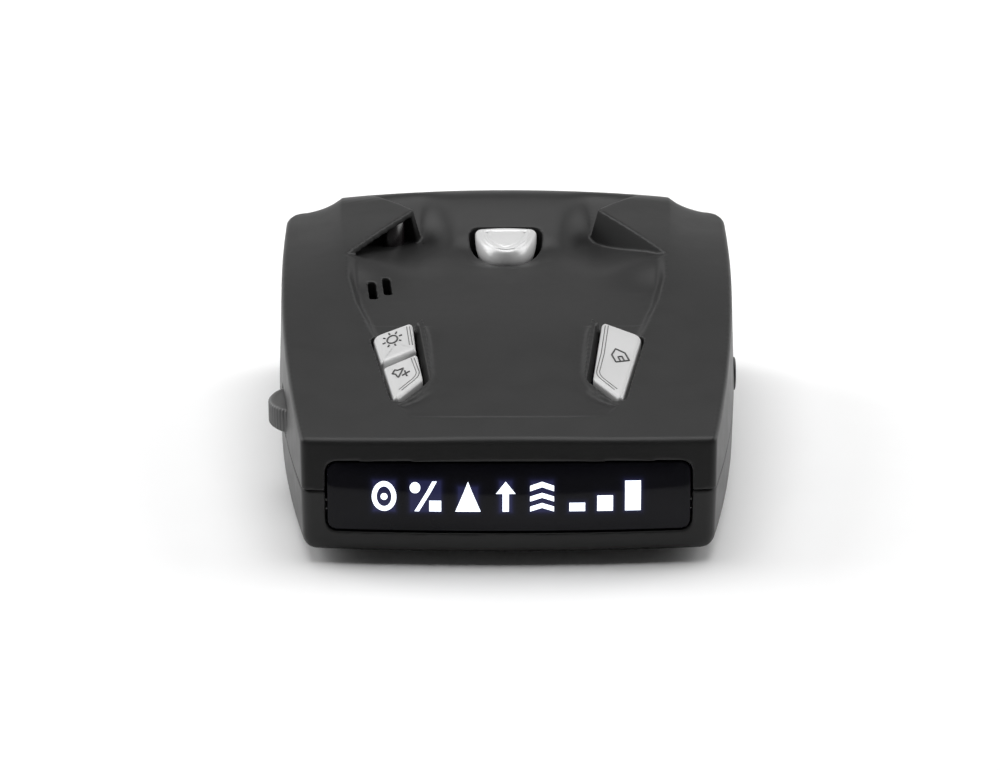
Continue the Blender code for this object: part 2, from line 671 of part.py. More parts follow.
def push_buttons(kit):
    kit.add("above_hood", loft_mesh("above_hood", lambda c, r: (24 * c, r, 40),
            lambda c, r: (24 * c, r, hood(24 * c, r) + 0.15), [-1, -0.75, -0.5, 0, 0.5, 0.75, 1],
            [8, 12, 16, 20, 24, 28, 32, 36, 40]), None)
    push_button(kit, "city", button_outline(), [(20.0, 28.0), (12.6, 24.0)])
    push_button(kit, "dim_memo", mirrored(rounded([(14.3, 36.0), (20.2, 31.6), (18.65, 23.3), (13.6, 27.4)],
                                                  [0.6, 2.2, 0.4, 0.4])), [(-20.0, 29.0), (-13.4, 32.5)])
    push_button(kit, "mute", mirrored(rounded([(13.4, 26.2), (18.3, 22.1), (16.45, 12.2), (12.4, 18.6)],
                                              [0.4, 0.4, 0.5, 1.6])), [(-17.9, 19.3), (-12.4, 21.5)])


def volume_wheel(kit):
    teeth = 36
    outline = []
    for k in range(teeth):
        for radius, share in ((WHEEL_RADIUS, 0.0), (WHEEL_RADIUS, 0.5), (WHEEL_RADIUS - 0.25, 0.75)):
            angle = math.tau * (k + share) / teeth
            outline.append((WHEEL_X + radius * math.cos(angle), WHEEL_Y + radius * math.sin(angle)))
    wheel = kit.add("volume_wheel", outline_mesh("volume_wheel", outline, WHEEL_LOW, WHEEL_HIGH), "black",
                    (WHEEL_X, WHEEL_Y, WHEEL_LOW))
    bore = kit.add("wheel_bore", rod_mesh("wheel_bore", WHEEL_X, WHEEL_Y, 10, 14.3, 1.4), None)
    combine(wheel, bore)
    kit.add("wheel_spindle", rod_mesh("wheel_spindle", WHEEL_X, WHEEL_Y, 9.6, 14.0, 1.1), "steel",
            (WHEEL_X, WHEEL_Y, 9.6))
    pot = kit.add("volume_pot", box_mesh("volume_pot", (WHEEL_X, 24, 8.9), (-22.5, 30, 10.9)), "chip")
    nose = kit.add("pot_nose", rod_mesh("pot_nose", WHEEL_X, WHEEL_Y, 8.9, 10.9, 2.4), None)
    hole = kit.add("pot_bore", rod_mesh("pot_bore", WHEEL_X, WHEEL_Y, 9.3, 12, 1.4), None)
    combine(pot, nose, "UNION")
    combine(pot, hole)


# ---------------------------------------------------------------- electronics

def boards(kit):
    outline = [(-22.5, 9), (22.5, 9), (22.5, 18.5), (29.3, 18.5), (29.3, 64), (22, 69.6), (-22, 69.6),
               (-29.3, 64), (-29.3, 18.5), (-22.5, 18.5)]
    board = kit.add("main_board", outline_mesh("main_board", outline, BOARD_LOW, BOARD_TOP), "board")
    for i, (x, y) in enumerate(BOARD_SCREWS):
        bore = kit.add(f"board_bore_{i + 1}", rod_mesh("board_bore", x, y, 5, 12, 1.4, 16), None)
        combine(board, bore, "DIFFERENCE", "MANIFOLD")
        kit.add(f"board_screw_{i + 1}", turned_mesh("board_screw", x, y, [
            (0, 4.6), (0.8, 5.2), (0.8, 8.9), (2.1, 8.9), (2.1, 10.2), (0.7, 10.2), (0, 9.6)], 16), "steel")
    kit.add("display_board", box_mesh("display_board", (-24, 6.0, 5.0), (24, 7.2, 15.4)), "board")
    kit.add("display_panel", box_mesh("display_panel", (-23, 3.5, 5.8), (23, 5.7, 14.6)), "window")
    kit.add("board_header", box_mesh("board_header", (-10, 7.5, 8.9), (10, 12, 11.4)), "chip")
    kit.add("laser_board", box_mesh("laser_board", (17, 81.5, 9), (25, 82.5, 19.5), -16), "board")
    kit.add("front_photodiode", box_mesh("front_photodiode", (20, 83.0, 13.5), (23.4, 84.6, 17), -16), "lens")
    x, y = along_horn(4.5, 4.2, -1)
    kit.add("rear_photodiode", box_mesh("rear_photodiode", (x - 1.1, y - 0.8, 22.8), (x + 1.1, y + 0.8, 25.8)),
            "lens")


def board_components(kit):
    shield = kit.add("shield_can", box_mesh("shield_can", (5, 50, 8.9), (22, 65, 12.2)), "steel")
    combine(shield, kit.add("shield_hollow", box_mesh("shield_hollow", (5.5, 50.5, 8), (21.5, 64.5, 11.8)), None))
    kit.add("processor_chip", box_mesh("processor_chip", (-5, 18, 8.9), (5, 28, 10.3)), "chip")
    kit.add("amplifier_chip", box_mesh("amplifier_chip", (-9, 32, 8.9), (-4, 36, 10.3)), "chip")
    crystal = kit.add("crystal", box_mesh("crystal", (2, 31.5, 8.9), (12.5, 35.5, 12.2)), "steel")
    bevel_all(crystal, 1.2, 2)
    for i, x in enumerate((5.0, 12.0)):
        kit.add(f"capacitor_{i + 1}", turned_mesh("capacitor", x, 43, [
            (0, 8.9), (2.5, 8.9), (2.5, 14.6), (2.2, 15), (0, 15)], 20), "sleeve")
    for name, (x, y) in SWITCHES.items():
        body = kit.add(f"switch_{name}", box_mesh("switch", (x - 3, y - 3, 8.9), (x + 3, y + 3, 12.3)), "chip")
        combine(body, kit.add(f"{name}_bore", rod_mesh("bore", x, y, 10.0, 13, 1.7, 16), None))
        kit.add(f"plunger_{name}", rod_mesh(f"plunger_{name}", x, y, 10.9, PLUNGER_TOP, 1.35, 16), "silver",
                (x, y, PLUNGER_TOP))


def power_jack(kit):
    jack = kit.add("dc_jack", box_mesh("dc_jack", (24.6, 40, 8.9), (32.2, 48, 15.9)), "black")
    collar = kit.add("jack_collar", lying_rod_mesh("jack_collar", JACK_Y, JACK_Z, 32, JACK_REACH, 2.6), None)
    hole = kit.add("jack_hole", lying_rod_mesh("jack_hole", JACK_Y, JACK_Z, 26.5, 40, 1.75), None)
    combine(jack, collar, "UNION")
    combine(jack, hole)
    kit.add("jack_pin", lying_rod_mesh("jack_pin", JACK_Y, JACK_Z, 26.8, 34.0, 0.5, 12), "brass")


def microwave_horn(kit):
    """Flared die-cast antenna, open to the rear, with its mixer board on top."""
    def flare(inset, front_y, rear_y, high):
        def point(column, row):
            half = 6 + 9.5 * row - inset
            middle, reach = 7.75, 2.6 + 1.15 * row - inset
            return half * column, front_y + (rear_y - front_y) * row, middle + (reach if high else -reach)
        return point
    horn = kit.add("microwave_horn", loft_mesh("microwave_horn", flare(0, 70.6, 87.8, True),
                                               flare(0, 70.6, 87.8, False), [-1, 1], [0, 1]), "die_cast")
    mouth = kit.add("horn_mouth", loft_mesh("horn_mouth", flare(1.1, 72.0, 88.6, True),
                                            flare(1.1, 72.0, 88.6, False), [-1, 1], [0, 1]), None)
    combine(horn, mouth)
    kit.add("mixer_board", box_mesh("mixer_board", (-11, 71, 11.9), (11, 85, 12.9)), "board")


def speaker(kit):
    kit.add("speaker_magnet", rod_mesh("speaker_magnet", SPEAKER_X, SPEAKER_Y, 9.0, 12.6, 6.0, 28), "steel")
    kit.add("speaker_frame", turned_mesh("speaker_frame", SPEAKER_X, SPEAKER_Y, [
        (0, 12.9), (5, 12.9), (11, 16.2), (12, 16.2), (12, 17.4), (10.8, 17.4), (4.6, 13.9), (0, 13.9)], 28), "steel")
    kit.add("speaker_cone", turned_mesh("speaker_cone", SPEAKER_X, SPEAKER_Y, [
        (0, 14.3), (4.4, 14.3), (10.2, 17.5), (10.2, 18.0), (4.2, 14.9), (2.5, 15.6), (0, 16)], 28), "paper")
    for name, finish, y in (("speaker_wire_red", "red", 50.0), ("speaker_wire_black", "black", 52.0)):
        wire(kit, name, finish, [(-9.9, y, 12.0), (-8.2, y, 12.6), (-6.0, y, 12.2), (-4.4, y, 10.8),
                                 (-3.9, y, 9.4)])


def wire(kit, name, finish, route):
    curve = bpy.data.curves.new(name, "CURVE")
    curve.dimensions = "3D"
    curve.bevel_depth = 0.45 * MM
    curve.bevel_resolution = 2
    curve.use_fill_caps = True
    curve.materials.append(kit.finishes[finish])
    line = curve.splines.new("POLY")
    line.points.add(len(route) - 1)
    for knot, place in zip(line.points, route):
        knot.co = (*world(*place), 1.0)
    kit.parts.objects.link(bpy.data.objects.new(name, curve))


def release_spring(kit):
    """Coil spring between the main board and the latch, on a rising helix."""
    turns, steps, radius, low, high = 4, 10, 1.9, 9.35, 14.35
    curve = bpy.data.curves.new("release_spring", "CURVE")
    curve.dimensions = "3D"
    curve.bevel_depth = 0.25 * MM
    curve.bevel_resolution = 1
    curve.use_fill_caps = True
    curve.materials.append(kit.finishes["steel"])
    line = curve.splines.new("POLY")
    count = turns * steps
    line.points.add(count)
    for k, knot in enumerate(line.points):
        angle = math.tau * k / steps
        knot.co = (*world(radius * math.cos(angle), 65 + radius * math.sin(angle),
                          low + (high - low) * k / count), 1.0)
    kit.parts.objects.link(bpy.data.objects.new("release_spring", curve))


def main():
    for old in list(bpy.data.objects):
        bpy.data.objects.remove(old)
    kit = Kit()
    shared = shared_cuts(kit)
    top_housing(kit, shared)
    bottom_housing(kit, shared)
    case_fittings(kit)
    socket_and_latch(kit)
    release_button(kit)
    push_buttons(kit)
    volume_wheel(kit)
    boards(kit)
    board_components(kit)
    power_jack(kit)
    microwave_horn(kit)
    speaker(kit)
    release_spring(kit)


main()
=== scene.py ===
"""Looks of a windscreen radar detector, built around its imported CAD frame.

Lengths below are millimetres in the part's own design frame: x to the right, y from
the front face (0) to the rear, z up from the feet's undersides.  world() turns them
into the frame's metres.
"""

import math

import bmesh
import bpy
from mathutils import Matrix, Vector

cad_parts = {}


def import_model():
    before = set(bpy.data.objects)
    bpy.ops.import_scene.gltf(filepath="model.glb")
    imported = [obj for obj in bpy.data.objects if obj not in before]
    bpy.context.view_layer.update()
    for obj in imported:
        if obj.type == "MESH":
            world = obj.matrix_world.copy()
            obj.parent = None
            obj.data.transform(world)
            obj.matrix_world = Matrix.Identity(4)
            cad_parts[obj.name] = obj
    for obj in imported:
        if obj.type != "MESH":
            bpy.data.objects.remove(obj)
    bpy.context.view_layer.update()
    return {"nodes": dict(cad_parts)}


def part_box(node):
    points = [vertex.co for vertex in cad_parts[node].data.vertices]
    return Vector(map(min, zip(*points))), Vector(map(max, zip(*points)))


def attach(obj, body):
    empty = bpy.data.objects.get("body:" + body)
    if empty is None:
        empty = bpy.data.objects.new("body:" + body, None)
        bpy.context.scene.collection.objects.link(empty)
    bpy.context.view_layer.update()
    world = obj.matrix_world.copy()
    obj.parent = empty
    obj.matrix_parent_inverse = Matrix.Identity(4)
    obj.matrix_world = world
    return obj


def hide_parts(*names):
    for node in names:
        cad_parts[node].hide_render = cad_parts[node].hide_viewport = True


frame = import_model()

MM = 0.001
ABOVE = 40.0  # a height clear of the case, for the tops of cutters
CASE_REAR = 92.0
REAR_SHIFT = CASE_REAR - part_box("top_housing")[1][1] / MM
PARTING_Z = 11.0
PARTING_GAP = 0.02  # what each half keeps away from the parting line
UPPER_RISE = 6.8  # from the parting line up to the front edge of the shoulders
FOOT_HEIGHT = 1.5
HALF_WIDTH = 35.9
FRONT_NARROWING = 6.6
TAPER_LENGTH = 72.0
REAR_BOW = 8.0
FRONT_BULGE = 1.6
WINDOW_HALF = 25.8
WINDOW_LOW = 5.2
WINDOW_HIGH = 14.9
WINDOW_DEPTH = 0.3  # how far the pane lies behind the case's front
WHEEL = (-29.4, 27.0)
WHEEL_RADIUS = 6.3
WHEEL_LOW, WHEEL_HIGH = 11.2, 15.0
JACK_Y, JACK_Z, JACK_REACH = 44.0, 12.4, 35.2
HORN_TIP = (15.0, 77.0)
HORN_END = (25.3, 60.0)
HORN_SLOPE = 0.26
BEZEL_END = 37.15  # the rear end of the bands round the push buttons
BUTTON_GAP = 0.42
CAP_PROUD = 0.15
VOXEL = 0.2
RIDGE_BANK = 1.8
CAMERA_TURN = -0.36
CAMERA_RISE = 20.0
CAMERA_DISTANCE = 500.0
CAMERA_TARGET = (0.0, 42.0, 15.5)
LENS = 117.3
LENS_SHIFT = (-0.0070, -0.0255)
FEET = ("foot_front_left", "foot_front_right", "foot_rear_left", "foot_rear_right")
CASE_SCREWS = ("case_screw_1", "case_screw_2", "case_screw_3", "case_screw_4")


# ---------- the case's surfaces

def ease(t):
    """Smooth step from 0 to 1."""
    t = max(0.0, min(1.0, t))
    return t * t * (3 - 2 * t)


def between(value, points):
    """Straight-line interpolation through (key, result) points."""
    for (a, fa), (b, fb) in zip(points, points[1:]):
        if value <= b:
            return fa + (fb - fa) * max(0.0, (value - a) / (b - a))
    return points[-1][1]


def flowing(value, points):
    """Smooth interpolation through (key, result) points."""
    for i in range(len(points) - 1):
        if value <= points[i + 1][0] or i == len(points) - 2:
            break
    (a, fa), (b, fb) = points[i], points[i + 1]
    before, after = points[max(0, i - 1)], points[min(len(points) - 1, i + 2)]
    slope_a = (fb - before[1]) / (b - before[0])
    slope_b = (after[1] - fa) / (after[0] - a)
    t = max(0.0, min(1.0, (value - a) / (b - a)))
    span = b - a
    return ((2 * t ** 3 - 3 * t ** 2 + 1) * fa + (t ** 3 - 2 * t ** 2 + t) * span * slope_a
            + (3 * t ** 2 - 2 * t ** 3) * fb + (t ** 3 - t ** 2) * span * slope_b)


def side(y):
    """Half-width of the case at the parting line."""
    width = HALF_WIDTH - FRONT_NARROWING * max(0.0, 1 - y / TAPER_LENGTH) ** 2.2
    corner = min(1.0, max(0.0, (y - 79) / 7))
    return width - 5 * (1 - math.sqrt(1 - corner * corner))


def draft(y):
    """How far the side wall leans in between the parting line and the top edge."""
    return 0.15 + 0.45 * math.sin(math.pi * min(max(y, 0.0), 80.0) / 80)


def front(x, z):
    """Front face: bowed in plan, leaning back above the parting line."""
    rise = (z - PARTING_Z) / UPPER_RISE
    lean = 1.8 * max(0.0, rise)
    bow = 1.0 - 0.6 * rise if rise > 0 else 1.0 - 0.45 * rise
    return lean - min(bow, FRONT_BULGE) * (1 - min(1.0, (x / 29) ** 2))


def rear(x):
    return CASE_REAR - REAR_BOW * (x / 35) ** 2


def ridge(y):
    """Half-width of the ridge between the hood and the shoulders."""
    return 27 - 0.0021 * (86 - y) ** 2


def edge_height(y):
    return 17.8 + 8.2 * math.sin(math.pi / 2 * min(y / 78, 1.0))


def hood(x, y):
    """Upper surface: shoulders, horn tops, front band and crest."""
    x = abs(x)
    rise = 0.1 + 0.4 * ease((y - 25) / 35) - 0.25 * ease((y - 62) / 15)
    rise += 2.2 * (max(y, 0.0) / 86) ** 3
    if x > ridge(y):
        edge = side(y) - draft(y)
        z = edge_height(y) + rise * max(0.0, (edge - x) / (edge - ridge(y))) ** 2
    else:
        crown = 0.15 + 1.1 * ease((y - 30) / 45)
        z = edge_height(y) + rise + crown * (1 - (x / ridge(y)) ** 2)
    return z - max(0.0, y - 82) ** 2 / 28


def floor_line(y):
    """Height of the valley floor along the centre."""
    return flowing(y, [(-5, 18.2), (7.8, 19.37), (20, 20.75), (35, 22.4), (50, 23.45),
                       (60, 24.0), (73, 24.3), (100, 24.6)])


def valley(x, y):
    """Floor of the valley between the ridges, rising to the crest at the rear."""
    x = abs(x)
    beside = ease((x - 7.5) / 7)
    ramp_start = 64 + 11 * beside
    climb = ease((y - ramp_start) / (87 - ramp_start))
    floor = floor_line(y) - 1.1 * beside * ease((y - 56) / 18)
    bank = 2.1 * ease((y - 50) / 11.5) * ease((x - 14) / 11) * (1 - climb)
    return floor + (hood(x, y) - floor) * climb + bank


def valley_half(y):
    """Half-width of the valley's outline: round the buttons, along the ridge, past the horns."""
    return between(y, [(2, 12.0), (8.6, 14.3), (11.3, 15.9), (13.4, 13.6), (15.6, 12.1),
                       (18.2, 11.4), (21.0, 11.3), (30.5, 12.0), (37, 12.7), (37.3, 21.9),
                       (44, 23.6), (52.5, 24.9), (HORN_END[1], HORN_END[0]),
                       (HORN_TIP[1], HORN_TIP[0]), (80, 17.2), (83, 19.8), (86, 22.3), (92, 24.5)])


def horn_lean(y):
    """Slope of the horns' walls away from the vertical."""
    return HORN_SLOPE * ease((y - 58) / 4) * (1 - ease((y - 79) / 3))


def trench(x, y, away):
    """The valley with its details: bezel slopes, soft banks and the dish round the release button."""
    z = valley(x, y)
    depth = max(0.0, hood(x, y) - z)
    if y < BEZEL_END:
        lift = between(away, [(0, 0.66), (0.12, 0.6), (0.75, 0.1), (1.5, 0.0)]) * ease((y - 9) / 3)
        lift *= 1 - 0.8 * ease((y - 33) / 4)
    else:
        lift = ease(1 - away / RIDGE_BANK) * ease((62 - y) / 3)
    gutter = ease((y - 9) / 3) * (1 - ease((y - 30) / 7))
    z -= 0.14 * gutter * ease(away / 0.9) * (1 - ease((away - 0.9) / 3.0))
    around = math.hypot(x, y - 69.6)
    z -= 0.4 * (1 - ease((around - 5.6) / 3.6)) * ease((73 - y) / 4)
    crease = 0.2 * ease((y - 7.3) / 0.7) * (1 - ease((y - 11) / 9))
    return z + lift * depth - crease


def world(x, y, z):
    return Vector((x * MM, (y - REAR_SHIFT) * MM, z * MM))


# ---------- mesh tools

def add_object(name, data):
    made = bpy.data.objects.new(name, data)
    bpy.context.scene.collection.objects.link(made)
    return made


def show(name, mesh, body, *nodes, finish, angle=40):
    """Make a piece that rides on a body and stands for the given CAD nodes."""
    piece = add_object(name, mesh)
    mesh.shade_smooth()
    mesh.set_sharp_from_angle(angle=math.radians(angle))
    mesh.materials.clear()
    mesh.materials.append(finish)
    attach(piece, body)
    if nodes:
        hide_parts(*nodes)
    return piece


def to_mesh(name, bm):
    bm.normal_update()
    bmesh.ops.recalc_face_normals(bm, faces=bm.faces)
    mesh = bpy.data.meshes.new(name)
    bm.to_mesh(mesh)
    bm.free()
    return mesh


def loose(mesh):
    """An object for a mesh that is still being worked on."""
    return add_object(mesh.name, mesh)


def loft(name, upper, lower, columns, rows, weights=None):
    """Closed solid between two surfaces over (column, row); weights bevel its outer edges."""
    bm = bmesh.new()
    layer = bm.edges.layers.float.new("bevel_weight_edge")
    top = [[bm.verts.new(world(*upper(c, r))) for c in columns] for r in rows]
    base = [[bm.verts.new(world(*lower(c, r))) for c in columns] for r in rows]
    last_row, last_column = len(rows) - 1, len(columns) - 1
    for j in range(last_row):
        for i in range(last_column):
            bm.faces.new((top[j][i], top[j][i + 1], top[j + 1][i + 1], top[j + 1][i]))
            bm.faces.new((base[j][i], base[j + 1][i], base[j + 1][i + 1], base[j][i + 1]))
    rim = [(0, i) for i in range(last_column)] + [(j, last_column) for j in range(last_row)]
    rim += [(last_row, i) for i in range(last_column, 0, -1)] + [(j, 0) for j in range(last_row, 0, -1)]
    for (j, i), (jn, im) in zip(rim, rim[1:] + rim[:1]):
        bm.faces.new((top[j][i], base[j][i], base[jn][im], top[jn][im]))
        if weights:
            bm.edges.get((top[j][i], top[jn][im]))[layer] = weights["upper"]
            bm.edges.get((base[j][i], base[jn][im]))[layer] = weights["lower"]
            if j in (0, last_row) and i in (0, last_column):
                bm.edges.get((top[j][i], base[j][i]))[layer] = weights["wall"]
    return loose(to_mesh(name, bm))


def rings(name, loops):
    """Skin through closed loops of points with equal counts; the ends are closed by a fan."""
    bm = bmesh.new()
    built = [[bm.verts.new(world(*p)) for p in loop] for loop in loops]
    for low, high in zip(built, built[1:]):
        count = len(low)
        for k in range(count):
            bm.faces.new((low[k], low[(k + 1) % count], high[(k + 1) % count], high[k]))
    for loop in (built[0], built[-1]):
        centre = bm.verts.new(sum((v.co for v in loop), Vector()) / len(loop))
        for k in range(len(loop)):
            bm.faces.new((loop[k], loop[(k + 1) % len(loop)], centre))
    return to_mesh(name, bm)


def turned(name, profile, centre, axis="Z", segments=64):
    """Solid of revolution: profile is (radius, height) points from one end of the axis to the other."""
    loops = []
    for radius, height in profile:
        loop = []
        for k in range(segments):
            angle = math.tau * k / segments
            a, b = math.cos(angle) * radius, math.sin(angle) * radius
            x, y, z = centre
            loop.append((x + a, y + b, z + height) if axis == "Z" else (x + height, y + a, z + b))
        loops.append(loop)
    return rings(name, loops)


def block(name, low, high, turn=0.0, round_by=0.0):
    """Box between two corners, turned about its own centre by degrees and rounded."""
    bm = bmesh.new()
    bmesh.ops.create_cube(bm, size=1.0)
    centre = Vector([(low[i] + high[i]) / 2 for i in range(3)])
    size = [high[i] - low[i] for i in range(3)]
    swing = Matrix.Rotation(math.radians(turn), 3, "Z")
    for vertex in bm.verts:
        place = centre + swing @ Vector([vertex.co[i] * size[i] for i in range(3)])
        vertex.co = world(*place)
    if round_by:
        bmesh.ops.bevel(bm, geom=bm.edges, offset=round_by * MM, segments=4, profile=0.5,
                        affect="EDGES")
    return to_mesh(name, bm)


def prism(name, outline, low, high):
    """Upright solid over a plan outline."""
    bm = bmesh.new()
    base = [bm.verts.new(world(x, y, low)) for x, y in outline]
    top = [bm.verts.new(world(x, y, high)) for x, y in outline]
    bm.faces.new(base)
    bm.faces.new(top)
    for k in range(len(outline)):
        following = (k + 1) % len(outline)
        bm.faces.new((base[k], base[following], top[following], top[k]))
    bmesh.ops.triangulate(bm, faces=[f for f in bm.faces if len(f.verts) > 4])
    return to_mesh(name, bm)


def unit(x, y):
    length = math.hypot(x, y)
    return x / length, y / length


def rounded(corners, radii, steps=8):
    """Outline through the corners, each rounded by its radius."""
    points = []
    count = len(corners)
    for i, ((x, y), radius) in enumerate(zip(corners, radii)):
        (ax, ay), (bx, by) = corners[i - 1], corners[(i + 1) % count]
        in_x, in_y = unit(ax - x, ay - y)
        out_x, out_y = unit(bx - x, by - y)
        half = math.acos(max(-1.0, min(1.0, in_x * out_x + in_y * out_y))) / 2
        mid_x, mid_y = unit(in_x + out_x, in_y + out_y)
        reach = radius / math.sin(half)
        centre_x, centre_y = x + mid_x * reach, y + mid_y * reach
        foot = radius / math.tan(half)
        start = math.atan2(y + in_y * foot - centre_y, x + in_x * foot - centre_x)
        stop = math.atan2(y + out_y * foot - centre_y, x + out_x * foot - centre_x)
        turn = (stop - start + math.pi) % math.tau - math.pi
        for k in range(steps + 1):
            angle = start + turn * k / steps
            points.append((centre_x + radius * math.cos(angle),
                           centre_y + radius * math.sin(angle)))
    return points


def resampled(points, spacing, closed=True):
    """Outline, or open path, with points about spacing apart."""
    ends = points[1:] + points[:1] if closed else points[1:]
    fine = []
    for (ax, ay), (bx, by) in zip(points, ends):
        steps = max(1, round(math.hypot(bx - ax, by - ay) / spacing))
        fine += [(ax + (bx - ax) * k / steps, ay + (by - ay) * k / steps) for k in range(steps)]
    return fine if closed else fine + [points[-1]]


def grown(points, amount):
    """Outline moved outwards by amount, which may be a function of the outward direction's x."""
    area = sum(a[0] * b[1] - b[0] * a[1] for a, b in zip(points, points[1:] + points[:1]))
    outward = 1 if area > 0 else -1
    moved = []
    for i, (x, y) in enumerate(points):
        ahead, behind = points[(i + 1) % len(points)], points[i - 1]
        along = unit(ahead[0] - behind[0], ahead[1] - behind[1])
        out_x, out_y = along[1] * outward, -along[0] * outward
        reach = amount(out_x) if callable(amount) else amount
        moved.append((x + out_x * reach, y + out_y * reach))
    return moved


def scaled(points, share, centre):
    middle_x, middle_y = centre
    return [(middle_x + (x - middle_x) * share, middle_y + (y - middle_y) * share)
            for x, y in points]


def mirrored(points):
    return [(-x, y) for x, y in points]


def bevel(part, width, segments):
    """Round the edges of a part by their bevel weights."""
    step = part.modifiers.new("rounded_edges", "BEVEL")
    step.limit_method = "WEIGHT"
    step.width = width * MM
    step.segments = segments


def settled(piece):
    """The piece's mesh with its modifiers applied; the piece goes."""
    bpy.context.view_layer.update()
    result = piece.evaluated_get(bpy.context.evaluated_depsgraph_get())
    mesh = bpy.data.meshes.new_from_object(result)
    bpy.data.objects.remove(piece)
    return mesh


def carve(solid, cutters, melted=True):
    """Mesh of a solid less its cutters; a voxel remesh then softens every edge if melted."""
    for cutter in cutters:
        cutter.hide_render = True
        step = solid.modifiers.new(cutter.name, "BOOLEAN")
        step.object = cutter
        step.operation = "DIFFERENCE"
        step.solver = "MANIFOLD"
    if melted:
        melt = solid.modifiers.new("melt", "REMESH")
        melt.mode = "VOXEL"
        melt.voxel_size = VOXEL * MM
        relax = solid.modifiers.new("relax", "SMOOTH")
        relax.factor = 0.5
        relax.iterations = 4
        thin = solid.modifiers.new("thin", "DECIMATE")
        thin.ratio = 0.3
    mesh = settled(solid)
    for cutter in cutters:
        bpy.data.objects.remove(cutter)
    return mesh


# ---------- materials

def nodes_for(name, colour, roughness, metallic=0.0):
    made = bpy.data.materials.new(name)
    made.use_nodes = True
    tree = made.node_tree
    shader = tree.nodes["Principled BSDF"]
    shader.inputs["Base Color"].default_value = (*colour, 1.0)
    shader.inputs["Roughness"].default_value = roughness
    shader.inputs["Metallic"].default_value = metallic
    return made, tree, shader


def noise(tree, size, detail, stretch=(1, 1, 1)):
    """Noise texture whose features are about size millimetres across."""
    place = tree.nodes.new("ShaderNodeTexCoord")
    squeeze = tree.nodes.new("ShaderNodeMapping")
    squeeze.inputs["Scale"].default_value = stretch
    texture = tree.nodes.new("ShaderNodeTexNoise")
    texture.inputs["Scale"].default_value = 1 / (size * MM)
    texture.inputs["Detail"].default_value = detail
    tree.links.new(place.outputs["Object"], squeeze.inputs["Vector"])
    tree.links.new(squeeze.outputs["Vector"], texture.inputs["Vector"])
    return texture.outputs["Fac"]


def map_range(tree, value, source, target, kind="LINEAR"):
    """Map a value from the source range to the target range, held at its ends."""
    node = tree.nodes.new("ShaderNodeMapRange")
    node.interpolation_type = kind
    numbers = (*source, *target)
    for label, number in zip(("From Min", "From Max", "To Min", "To Max"), numbers):
        node.inputs[label].default_value = number
    tree.links.new(value, node.inputs["Value"])
    return node.outputs["Result"]


def spread(tree, value, low, high):
    """Map a noise value to low..high."""
    return map_range(tree, value, (0.3, 0.7), (low, high))


def tint(tree, shader, value, dark, light):
    """Colour the surface between two tones by a noise value."""
    mix = tree.nodes.new("ShaderNodeMix")
    mix.data_type = "RGBA"
    mix.inputs[6].default_value = (*dark, 1.0)
    mix.inputs[7].default_value = (*light, 1.0)
    tree.links.new(spread(tree, value, 0.0, 1.0), mix.inputs[0])
    tree.links.new(mix.outputs[2], shader.inputs["Base Color"])


def bump(tree, shader, value, height):
    """Relief of height millimetres from a noise value."""
    node = tree.nodes.new("ShaderNodeBump")
    node.inputs["Strength"].default_value = 1.0
    node.inputs["Distance"].default_value = height * MM
    tree.links.new(value, node.inputs["Height"])
    tree.links.new(node.outputs["Normal"], shader.inputs["Normal"])


def surface(name, colour, roughness, metallic=0.0, grain=0.25, relief=0.012, mottle=0.12,
            swing=0.05, stretch=(1, 1, 1), coat=0.0, specular=0.5):
    """Plastic, paint or metal with grain, slow colour mottling and uneven gloss."""
    made, tree, shader = nodes_for(name, colour, roughness, metallic)
    dark = [c * (1 - mottle) for c in colour]
    light = [min(1.0, c * (1 + mottle)) for c in colour]
    tint(tree, shader, noise(tree, 14.0, 4.0), dark, light)
    tree.links.new(spread(tree, noise(tree, 5.0, 5.0), roughness - swing, roughness + swing),
                   shader.inputs["Roughness"])
    bump(tree, shader, noise(tree, grain, 3.0, stretch), relief)
    shader.inputs["Coat Weight"].default_value = coat
    shader.inputs["Coat Roughness"].default_value = 0.1
    shader.inputs["Specular IOR Level"].default_value = specular
    return made


def board_laminate():
    """Green solder mask with faint copper runs under it."""
    made, tree, shader = nodes_for("board_laminate", (0.015, 0.13, 0.05), 0.35)
    bricks = tree.nodes.new("ShaderNodeTexBrick")
    place = tree.nodes.new("ShaderNodeTexCoord")
    tree.links.new(place.outputs["Object"], bricks.inputs["Vector"])
    settings = {"Color1": (0.012, 0.11, 0.04, 1), "Color2": (0.02, 0.17, 0.06, 1),
                "Mortar": (0.03, 0.24, 0.08, 1), "Scale": 130.0, "Mortar Size": 0.03}
    for socket, value in settings.items():
        bricks.inputs[socket].default_value = value
    tree.links.new(bricks.outputs["Color"], shader.inputs["Base Color"])
    bump(tree, shader, noise(tree, 0.6, 2.0), 0.01)
    return made


SYMBOL_LOW, SYMBOL_HIGH = 8.15, 12.45
SYMBOL_MIDDLE = (SYMBOL_LOW + SYMBOL_HIGH) / 2
BARS = [(9.7, 9.4), (13.65, 10.45), (17.6, 12.45)]
BAR_HALF = 1.12
SYMBOL_BOXES = [(-17.7, 1.5, SYMBOL_HIGH), (-11.8, 2.1, SYMBOL_HIGH),
                (-5.8, 1.3, SYMBOL_HIGH - 0.8), (-0.45, 0.8, SYMBOL_HIGH),
                (4.7, 1.5, SYMBOL_HIGH)] + [(x, BAR_HALF, top) for x, top in BARS]
GLOW_REACH = 0.24
GLOW_STRENGTH = 0.06


